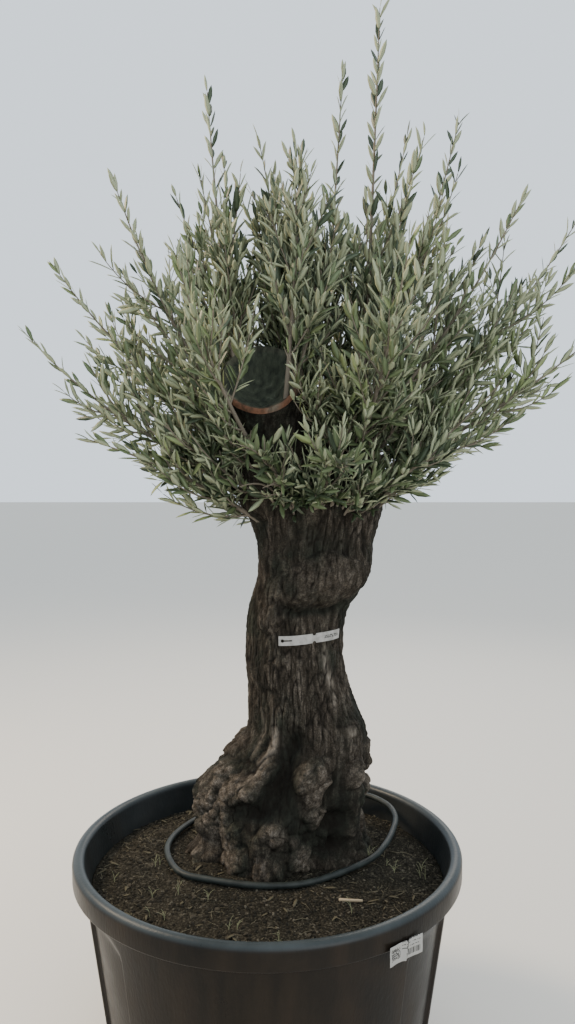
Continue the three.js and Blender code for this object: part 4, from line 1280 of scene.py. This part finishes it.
FIRST_SEED = 100
leaf_total = 0
for number, name in enumerate(MASSES):
    shoots, random = grow_mass(name, FIRST_SEED + number)
    twigs = edges_along(f"twigs_{name}", shoots)
    run_tree(twigs, tubes_tree, Sides=5, Bark=old_twig, Young_bark=young_twig)

    at, heading, facing, size, tint = leaves_of(shoots, random)
    middle, end = at + heading * LEAF_MIDDLE, at + heading * LEAF_END
    keep = in_own_space(name, middle, LEAF_SLACK) & clear_of_limbs(middle) & clear_of_limbs(end)
    marks = {"heading": heading[keep], "facing": facing[keep], "size": size[keep], "tint": tint[keep]}
    leaves = mesh_object(f"leaves_{name}", at[keep], [], attributes=marks)
    run_tree(leaves, leaves_tree, Leaf=leaf_form, **leaf_materials)
    leaf_total += int(keep.sum())
    for piece in (twigs, leaves):
        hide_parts(f"shoots_{name}")
        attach(piece, "root")
    print(name, "shoots", len(shoots), "leaves", int(keep.sum()), "twig faces", len(twigs.data.polygons))
bpy.data.objects.remove(leaf_form)
print("leaves in all", leaf_total)

# %% [markdown]
# ## The dripline and its joiner
#
# An irrigation hose keeps the curve that its stiffness gives it. It is one tube along the CAD's own
# route, and a curve object with a bevel would do as well, but rings of points can stop exactly
# where the joiner starts. The joiner has the raised rings of a barbed coupling.


# %% Dripline
# Points of the ring: distance from the pot's axis, angle, and how high it is lifted off the soil.
ROUTE = [
    (365, 92, 4), (335, 120, 2), (312, 146, 0), (290, 172, 0),
    (256, 202, 0), (205, 224, 0), (174, 266, 0), (194, 308, 0),
    (275, 348, 8), (326, 2, 20), (376, 16, 33), (425, 27, 46),
    (455, 38, 56), (458, 52, 54), (420, 70, 24),
]
HOSE_RADIUS = 8.5
HOSE_REST = 1.1
HOSE_STEPS = 400
JOINER = dict(radius=11.5, length=56, rings=5, steps=60)


def closed_curve(points, steps):
    """A smooth closed curve through points."""
    points = np.asarray(points, float)
    before, after, beyond = [np.roll(points, -k, axis=0) for k in (-1, 1, 2)]
    t = np.linspace(0, 1, steps, endpoint=False)[:, None, None]
    curve = 0.5 * (
        2 * points
        + (after - before) * t
        + (2 * before - 5 * points + 4 * after - beyond) * t**2
        + (3 * points - before - 3 * after + beyond) * t**3
    )
    return np.swapaxes(curve, 0, 1).reshape(-1, 3)


hose_height = HOSE_RADIUS + HOSE_REST
route = [polar(r, angle, float(mound_height(r)) + hose_height + lift) for r, angle, lift in ROUTE]
loop = closed_curve(route, 24)
loop = even_path(np.vstack([loop, loop[:1]]), HOSE_STEPS)
joiner_share = JOINER["length"] / 2 / length_of(loop)


def tube_rings(path, radii, sides):
    headings = unit(np.gradient(path, axis=0))
    side = unit(np.cross(headings, UP))
    up = np.cross(side, headings)
    turns = np.arange(sides) * 2 * math.pi / sides
    ring = np.cos(turns)[None, :, None] * side[:, None] + np.sin(turns)[None, :, None] * up[:, None]
    return path[:, None] + ring[:, ::-1] * np.asarray(radii, float)[:, None, None]


def make_hose_plastic():
    # Grey-green polyethylene, chalky from the sun
    material = new_material("irrigation_polyethylene", "262b29", 0.5, Specular_IOR_Level=0.2)
    tree = material.node_tree
    chalk = first_of(tree, RAMP, {0: pattern(tree, 30, 4)}, stops=[(0.35, "181c1b"), (0.65, "282d2b")])
    to_shader(material, Base_Color=chalk, height=(pattern(tree, 300, 2), 0.0004))
    return material


hose_plastic = make_hose_plastic()
skip = int(round(joiner_share * HOSE_STEPS))
hose_path = loop[skip - 2 : HOSE_STEPS - skip + 3]
hose_rings = tube_rings(hose_path, np.full(len(hose_path), HOSE_RADIUS), 24)
hose = mesh_object("irrigation_hose_ring", *shell(hose_rings), [hose_plastic])
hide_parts("dripline")

ends = np.array([along(loop, 1 - joiner_share)[0], along(loop, joiner_share)[0]])
joiner_path = even_path(ends, JOINER["steps"])
waves = np.cos(np.linspace(0, 2 * math.pi * JOINER["rings"], JOINER["steps"] + 1))
joiner_rings = tube_rings(joiner_path, JOINER["radius"] * (1 - 0.16 * (waves > 0.2)), 32)
joiner = mesh_object("hose_joiner", *shell(joiner_rings), [hose_plastic])
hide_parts("dripline_joiner")

# %% [markdown]
# ## The tag
#
# The tag is a strip of white film with a keyhole and two notches, pushed round the bark. It is drawn
# flat as a filled curve, cut across every few millimetres, and then every point moves to its place
# along a track that keeps clear of the bark. The flat place stays with each point, for the print.
# Shrinkwrapping the strip on the trunk would press it into every furrow, which film doesn't do.


# %% Tag
TAG = dict(h=611, height=26, start=251, end=330, climb=10, off_bark=3.2, steps=120, half_thickness=0.45)
NOTCH = dict(radius=5.5, past_middle=8)
KEYHOLE = dict(x=11, radius=4.6, slot=26, half_slot=1.7)
# The printed marks: their cells, how much of them is left blank, and their field's middle and half size.
PRINT = dict(cell=(1.6, 2.4, 50.0), blank=0.42, from_end=30, half_length=24, half_height=4)


def tag_outline(length, height):
    """The strip's outline with a half-round notch in the middle of its top and bottom edges."""
    x, notch = length / 2 + NOTCH["past_middle"], NOTCH["radius"]
    turns = np.linspace(0, math.pi, 9)
    top = [(x + notch * math.cos(t), height - notch * math.sin(t)) for t in turns]
    bottom = [(x - notch * math.cos(t), notch * math.sin(t)) for t in turns]
    return [(0, 0), *bottom, (length, 0), (length, height), *top, (0, height)]


def keyhole(x, y):
    """A round hole with a slot that runs out of it to the right."""
    radius, end, half = KEYHOLE["radius"], x + KEYHOLE["slot"], KEYHOLE["half_slot"]
    turns = np.linspace(0.4, 2 * math.pi - 0.4, 16)
    head = [(x + radius * math.cos(t), y + radius * math.sin(t)) for t in turns]
    return [*head, (end, y - half), (end, y + half)]


def tag_print(tree, length):
    """Small marks near the strip's far end, 1 where there is ink."""
    place = add_node(tree, "ShaderNodeAttribute", attribute_name="flat_place").outputs["Vector"]
    cell = first_of(tree, "ShaderNodeVectorMath", {0: place, 1: PRINT["cell"]}, operation="SNAP")
    chance = first_of(tree, "ShaderNodeTexWhiteNoise", {"Vector": cell})
    split = add_node(tree, "ShaderNodeSeparateXYZ", {"Vector": place}).outputs
    ink = first_of(tree, "ShaderNodeMath", {0: chance, 1: PRINT["blank"]}, operation="GREATER_THAN")
    along_strip = ("X", length - PRINT["from_end"], PRINT["half_length"])
    for axis, middle, half in (along_strip, ("Y", TAG["height"] / 2, PRINT["half_height"])):
        near = first_of(tree, "ShaderNodeMath", {0: split[axis], 1: middle, 2: half}, operation="COMPARE")
        ink = first_of(tree, "ShaderNodeMath", {0: ink, 1: near}, operation="MULTIPLY")
    return ink


def flat_strip(length):
    """The strip with its notches and keyhole, flat in XY, cut across often enough to bend."""
    curve = bpy.data.curves.new("tag_outline", "CURVE")
    curve.dimensions, curve.fill_mode, curve.extrude = "2D", "BOTH", TAG["half_thickness"]
    for outline in (tag_outline(length, TAG["height"]), keyhole(KEYHOLE["x"], TAG["height"] / 2)):
        spline = curve.splines.new("POLY")
        spline.points.add(len(outline) - 1)
        spline.use_cyclic_u = True
        for point, (x, y) in zip(spline.points, outline):
            point.co = (x, y, 0, 1)
    flat = linked_object("tag_outline", curve)
    mesh = evaluated_mesh(flat)
    bpy.data.objects.remove(flat)
    mesh.name = "trunk_tag"
    work = bmesh.new()
    work.from_mesh(mesh)
    for x in np.arange(4, length, 4.0):
        everything = work.verts[:] + work.edges[:] + work.faces[:]
        bmesh.ops.bisect_plane(work, geom=everything, plane_co=(x, 0, 0), plane_no=(1, 0, 0), dist=1e-4)
    bmesh.ops.remove_doubles(work, verts=work.verts, dist=1e-3)
    bmesh.ops.recalc_face_normals(work, faces=work.faces)
    work.to_mesh(mesh)
    work.free()
    return mesh


def make_tag():
    degrees = np.linspace(TAG["start"], TAG["end"], TAG["steps"])
    lift = TAG["h"] + TAG["climb"] * np.linspace(0, 1, TAG["steps"])
    across_strip = (0, TAG["height"] / 2, TAG["height"])
    clear = np.max([trunk_radius(degrees, lift + up) for up in across_strip], axis=0) + TAG["off_bark"]
    track = trunk_centre(lift) + polar(clear, degrees)
    track[:, 2] = SOIL_TOP + lift
    gone = way_gone(track)
    length = gone[-1]
    mesh = flat_strip(length)
    places = mesh.attributes.new("flat_place", "FLOAT_VECTOR", "POINT").data
    places.foreach_set("vector", np.array([vertex.co for vertex in mesh.vertices]).ravel())
    for vertex in mesh.vertices:
        x, y, out = vertex.co
        spot = place_on(track, gone, x)
        outward = unit((spot - trunk_centre(TAG["h"])) * (1, 1, 0))
        curl = 2.2 * smoothstep(length - 26, length, x) * (y / TAG["height"]) + 0.8 * math.sin(x / 17)
        vertex.co = Vector((spot + UP * y + outward * (out + curl)) * MM)
    # White synthetic film, painted grey as painted shade, with grime and black print
    film = new_material("white_label_film", "8f8d89", 0.4)
    tree = film.node_tree
    shade_and_grime = first_of(tree, RAMP, {0: pattern(tree, 60, 4)}, stops=[(0.35, "807d78"), (0.6, "9a9792")])
    to_shader(film, Base_Color=laid_over(tree, shade_and_grime, (tag_print(tree, length), colour("24221f"))))
    mesh.materials.append(film)
    return linked_object("trunk_tag", mesh)


tag = make_tag()
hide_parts("tag")
print("tag faces", len(tag.data.polygons))

# %% [markdown]
# ## What lies on the soil
#
# Clods, stones, bark chips, straw and dead leaves are scattered by one more small node tree over a
# patch of the soil's surface that leaves out the trunk. Particles would do it too, but one tree with
# named inputs serves all five kinds and leaves plain meshes. Weeds are a few bent blades each, made
# by the same tubes as the twigs.


# %% Scatter tree
def make_scatter_tree():
    """Copies of a form lie all over a surface, each turned, tipped and sized by chance."""
    numbers = dict.fromkeys(["Per_square_metre", "Smallest", "Largest", "Tip"], "Float")
    sockets = dict(Form="Object", Material="Material", **numbers, Seed="Int")
    tree, given, _ = new_geometry_tree("Scatter on ground", {}, **sockets)
    settings = {"Mesh": given["Geometry"], "Density": given["Per square metre"], "Seed": given["Seed"]}
    spots = first_of(tree, "GeometryNodeDistributePointsOnFaces", settings)
    tip = given["Tip"]
    low = first_of(tree, "ShaderNodeMath", {0: tip, 1: -1.0}, operation="MULTIPLY")
    least = first_of(tree, "ShaderNodeCombineXYZ", {"X": low, "Y": low})
    most = first_of(tree, "ShaderNodeCombineXYZ", {"X": tip, "Y": tip, "Z": 6.2832})
    settings = {"Min": least, "Max": most, "Seed": given["Seed"]}
    turn = first_of(tree, "FunctionNodeRandomValue", settings, data_type="FLOAT_VECTOR")
    size = add_node(tree, "FunctionNodeRandomValue", data_type="FLOAT")
    for key, label in (("Min_001", "Smallest"), ("Max_001", "Largest"), ("Seed", "Seed")):
        socket = next(i for i in size.inputs if i.identifier == key)
        tree.links.new(given[label], socket)
    scale = next(o for o in size.outputs if o.identifier == "Value_001")
    copies = copies_at(tree, spots, given["Form"], turn, scale)
    return finish_tree(tree, copies, (True, given["Material"]))


scatter_tree = make_scatter_tree()


# %% Litter on the soil
def soil_patch(name):
    """The open soil's surface as a mesh to scatter on."""
    degrees, radii = np.arange(0, 360, 3.0), np.linspace(120, SOIL_EDGE - 6, 40)
    r, angle = [grid.ravel() for grid in np.meshgrid(radii, degrees, indexing="ij")]
    points = polar(r, angle)
    points[:, 2] = soil_surface(points[:, :2])
    away = points[:, :2] - trunk_centre(0)[:2]
    around = np.degrees(np.arctan2(away[:, 1], away[:, 0]))
    open_soil = np.linalg.norm(away, axis=1) > trunk_radius(around, 0.0) + 4
    index = np.arange(len(points)).reshape(len(radii), len(degrees))
    quads = grid_quads(index, np.roll(index, -1, axis=1))[:, ::-1]
    return mesh_object(name, points, [quad for quad in quads.tolist() if open_soil[quad].all()])


def lump_form(name, size, squash, seed):
    """A small stone or clod of a few dozen faces."""
    rings = []
    for tilt in np.radians([-62, -28, 5, 35, 65]):
        ring = polar(math.cos(tilt), angles_round(8), math.sin(tilt))
        uneven = 1 + 0.32 * noise_at(ring, 0.9, 1, seed)
        rings.append(ring * uneven[:, None] * (size, size * 0.75, size * squash))
    return mesh_object(name, *shell(rings), smooth=False)


def straw_form(name, length, width):
    t = np.linspace(0, 1, 6)
    path = np.column_stack([t * length - length / 2, length * 0.1 * np.sin(3 * t), 1.5 + 3 * t * (1 - t)])
    return mesh_object(name, *shell(tube_rings(path, width / 2 * (1.1 - 0.7 * t), 4)))


litter = {
    # name: form, colour, how many on a square metre, smallest, largest, how far tipped
    "soil_clods": (lump_form("clod", 5, 0.7, 1.0), "22201b", 4200, 0.3, 1.3, 0.5),
    "soil_pebbles": (lump_form("pebble", 4.5, 0.6, 4.0), "4d493f", 900, 0.3, 1.1, 0.4),
    "bark_chips": (lump_form("chip", 7, 0.22, 7.0), "38342c", 600, 0.3, 1.2, 0.35),
    "straw": (straw_form("straw", 40, 1.6), "625d4d", 600, 0.25, 1.1, 0.25),
    "dry_leaves": (make_leaf(38, 9), "4c483a", 340, 0.4, 1.0, 0.35),
}
for number, (name, (form, hex_code, density, *sizes)) in enumerate(litter.items()):
    piece = soil_patch(name)
    # Dry crumbs and bits of plants, all of them matt
    stuff = new_material(name, hex_code, 0.9, Specular_IOR_Level=0.1)
    sizes = dict(zip(("Smallest", "Largest", "Tip"), sizes))
    values = dict(Form=form, Material=stuff, Per_square_metre=float(density), Seed=number + 5)
    run_tree(piece, scatter_tree, **values, **sizes)
    bpy.data.objects.remove(form)
    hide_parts("soil")
    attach(piece, "root")
    print(name, "faces", len(piece.data.polygons))


# %% A stick, and weeds
def on_soil(x, y, lift=0.0):
    return np.array([x, y, float(soil_surface(np.array([[x, y]]))[0]) + lift])


# Wood without its bark, bleached by the sun
dry_wood = new_material("dry_pale_wood", "8b7d66", 0.8)
stick_path = bezier_path(on_soil(184, -232, 4), on_soil(212, -240, 8), on_soil(243, -231, 4), 12)
stick_rings = tube_rings(stick_path, np.linspace(4.2, 3.4, len(stick_path)), 10)
stick = mesh_object("fallen_stick", *shell(stick_rings), [dry_wood])

TUFTS = 22
random = np.random.default_rng(31)
blades = []
for _ in range(TUFTS):
    r, angle = random.uniform(250, 440), random.uniform(180, 380)
    foot = on_soil(*polar(r, angle)[:2])
    for _ in range(random.integers(3, 6)):
        height = random.uniform(14, 38)
        lean = polar(height * random.uniform(0.15, 0.8), random.uniform(0, 360))
        blade = bezier_path(foot, foot + UP * height * 0.7, foot + lean + UP * height, 5)
        blades.append((blade, 1.0, 0.35, 2))
weeds = edges_along("weed_sprouts", blades)
# Seedlings of weeds, dull green and half dry
sprout = new_material("dry_weed_sprouts", "77785a", 0.8)
run_tree(weeds, tubes_tree, Sides=4, Bark=sprout, Young_bark=sprout)
for piece in (stick, weeds):
    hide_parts("soil")
    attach(piece, "root")


# %% [markdown]
# ## The label
#
# The label is paper that rain has crumpled on the collar. A grid of small cells is bent round the
# pot and lifted by noise, and the cells that count as printed take the ink's material. The print
# needs no picture this way, and there is nothing to read on it.


# %% Label on the pot's collar
LABEL = dict(angle=-52.3, z=541, width=104, height=46, cell=2, thickness=0.4)


def make_label():
    columns, rows = LABEL["width"] // LABEL["cell"], LABEL["height"] // LABEL["cell"]
    u, v = np.meshgrid(np.linspace(-0.5, 0.5, columns + 1), np.linspace(-0.5, 0.5, rows + 1))
    x, y = (u * LABEL["width"]).ravel(), (v * LABEL["height"]).ravel()
    crease = 5 * np.exp(-((x - 0.15 * y) / 5) ** 2)
    crumple = 2.2 + 1.8 * noise_at(np.column_stack([x, y, 0 * x]), 17, 1, 3) + crease + 0.002 * x**2
    back = POT["rim"] + 1 + np.maximum(crumple, 0.6)
    degrees = LABEL["angle"] + np.degrees(x / POT["rim"])
    outer, inner = [polar(back + k, degrees, LABEL["z"] + y) for k in (LABEL["thickness"], 0)]
    count = len(outer)
    index = np.arange(count).reshape(rows + 1, columns + 1)
    cells = grid_quads(index[:, :-1], index[:, 1:])
    rim = np.concatenate([index[0, :-1], index[:-1, -1], index[-1, :0:-1], index[:0:-1, 0]])
    sides = [[a, a + count, b + count, b] for a, b in zip(rim.tolist(), np.roll(rim, -1).tolist())]
    faces = cells.tolist() + (cells[:, ::-1] + count).tolist() + sides
    # White paper, painted grey as painted shade, with worn black print
    paper = new_material("white_label_paper", "918f8a", 0.6)
    ink = new_material("black_label_print", "24221f", 0.6)
    label = mesh_object("collar_label", np.vstack([outer, inner]), faces, [paper, ink])
    # What is printed, by column and row of cells: a square of chance cells, bars, lines, and a tear
    random = np.random.default_rng(12)
    column, row = np.meshgrid(np.arange(columns), np.arange(rows))
    code = (column >= 3) & (column < 17) & (row >= 5) & (row < 19) & (random.random(column.shape) < 0.55)
    bars = (column >= 30) & (column < 48) & (row >= 4) & (row < 11) & (np.isin(column % 7, (0, 2, 3, 5)))
    lines = (column >= 20) & (column < 48) & (row % 4 == 2) & (row > 11)
    lines &= random.random(column.shape) < 0.7
    tear = np.abs(column - 25 - 0.12 * row) < 1
    printed = np.zeros(len(faces), int)
    printed[: len(cells)] = (code | bars | lines | tear).ravel()
    label.data.polygons.foreach_set("material_index", printed)
    return label


label = make_label()
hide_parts("pot")
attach(label, "root")

# %% Everything rides on the one body
for piece in (pot, soil, trunk, hose, joiner, tag, *limbs):
    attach(piece, "root")

# %% [markdown]
# ## Floor, light and camera
#
# A pale floor and large soft lights leave the tree's own colours alone. The key light comes from
# the upper left, as the sun does in the photograph, and the camera stands at eye height.

# %% Stage
bpy.ops.mesh.primitive_plane_add(size=60, location=(0, 0, 0))
floor = bpy.context.object
floor.name = "studio_floor"
floor.data.materials.append(new_material("pale_studio_floor", "c9c5bd", 0.9))

world = bpy.data.worlds.new("studio_world")
bpy.context.scene.world = world
world.use_nodes = True
background = world.node_tree.nodes["Background"]
background.inputs["Color"].default_value = colour("d3dde6")
background.inputs["Strength"].default_value = 1.8


# Each light's place, what it points at, its size in metres, its power in watts, and its colour.
LIGHTS = dict(
    key_light=((-3.6, 0.9, 4.4), (0, 0, 1.5), 1.5, 330, "ffe6c4"),
    back_light=((1.5, 4.4, 4.4), (0, 0, 1.9), 3.0, 130, "fff4e6"),
    fill_light=((2.4, -3.8, 2.6), (0, 0, 1.4), 3.4, 110, "ffffff"),
)
CAMERA = dict(place=(0.054, -2.318, 1.67), pitch=-3.62, lens=30.0, sensor=36.0)

for name, (place, target, size, watts, hex_code) in LIGHTS.items():
    light = bpy.data.lights.new(name, "AREA")
    light.color = colour(hex_code)[:3]
    light.size = size
    light.energy = watts
    lamp = linked_object(name, light)
    lamp.location = place
    lamp.rotation_euler = (Vector(target) - Vector(place)).to_track_quat("-Z", "Y").to_euler()

camera_data = bpy.data.cameras.new("camera")
camera_data.lens = CAMERA["lens"]
camera_data.sensor_width = CAMERA["sensor"]
camera = linked_object("camera", camera_data)
camera.location = CAMERA["place"]
camera.rotation_euler = (math.radians(90 + CAMERA["pitch"]), 0, 0)
bpy.context.scene.camera = camera

# %% The closing line
bpy.context.view_layer.update()
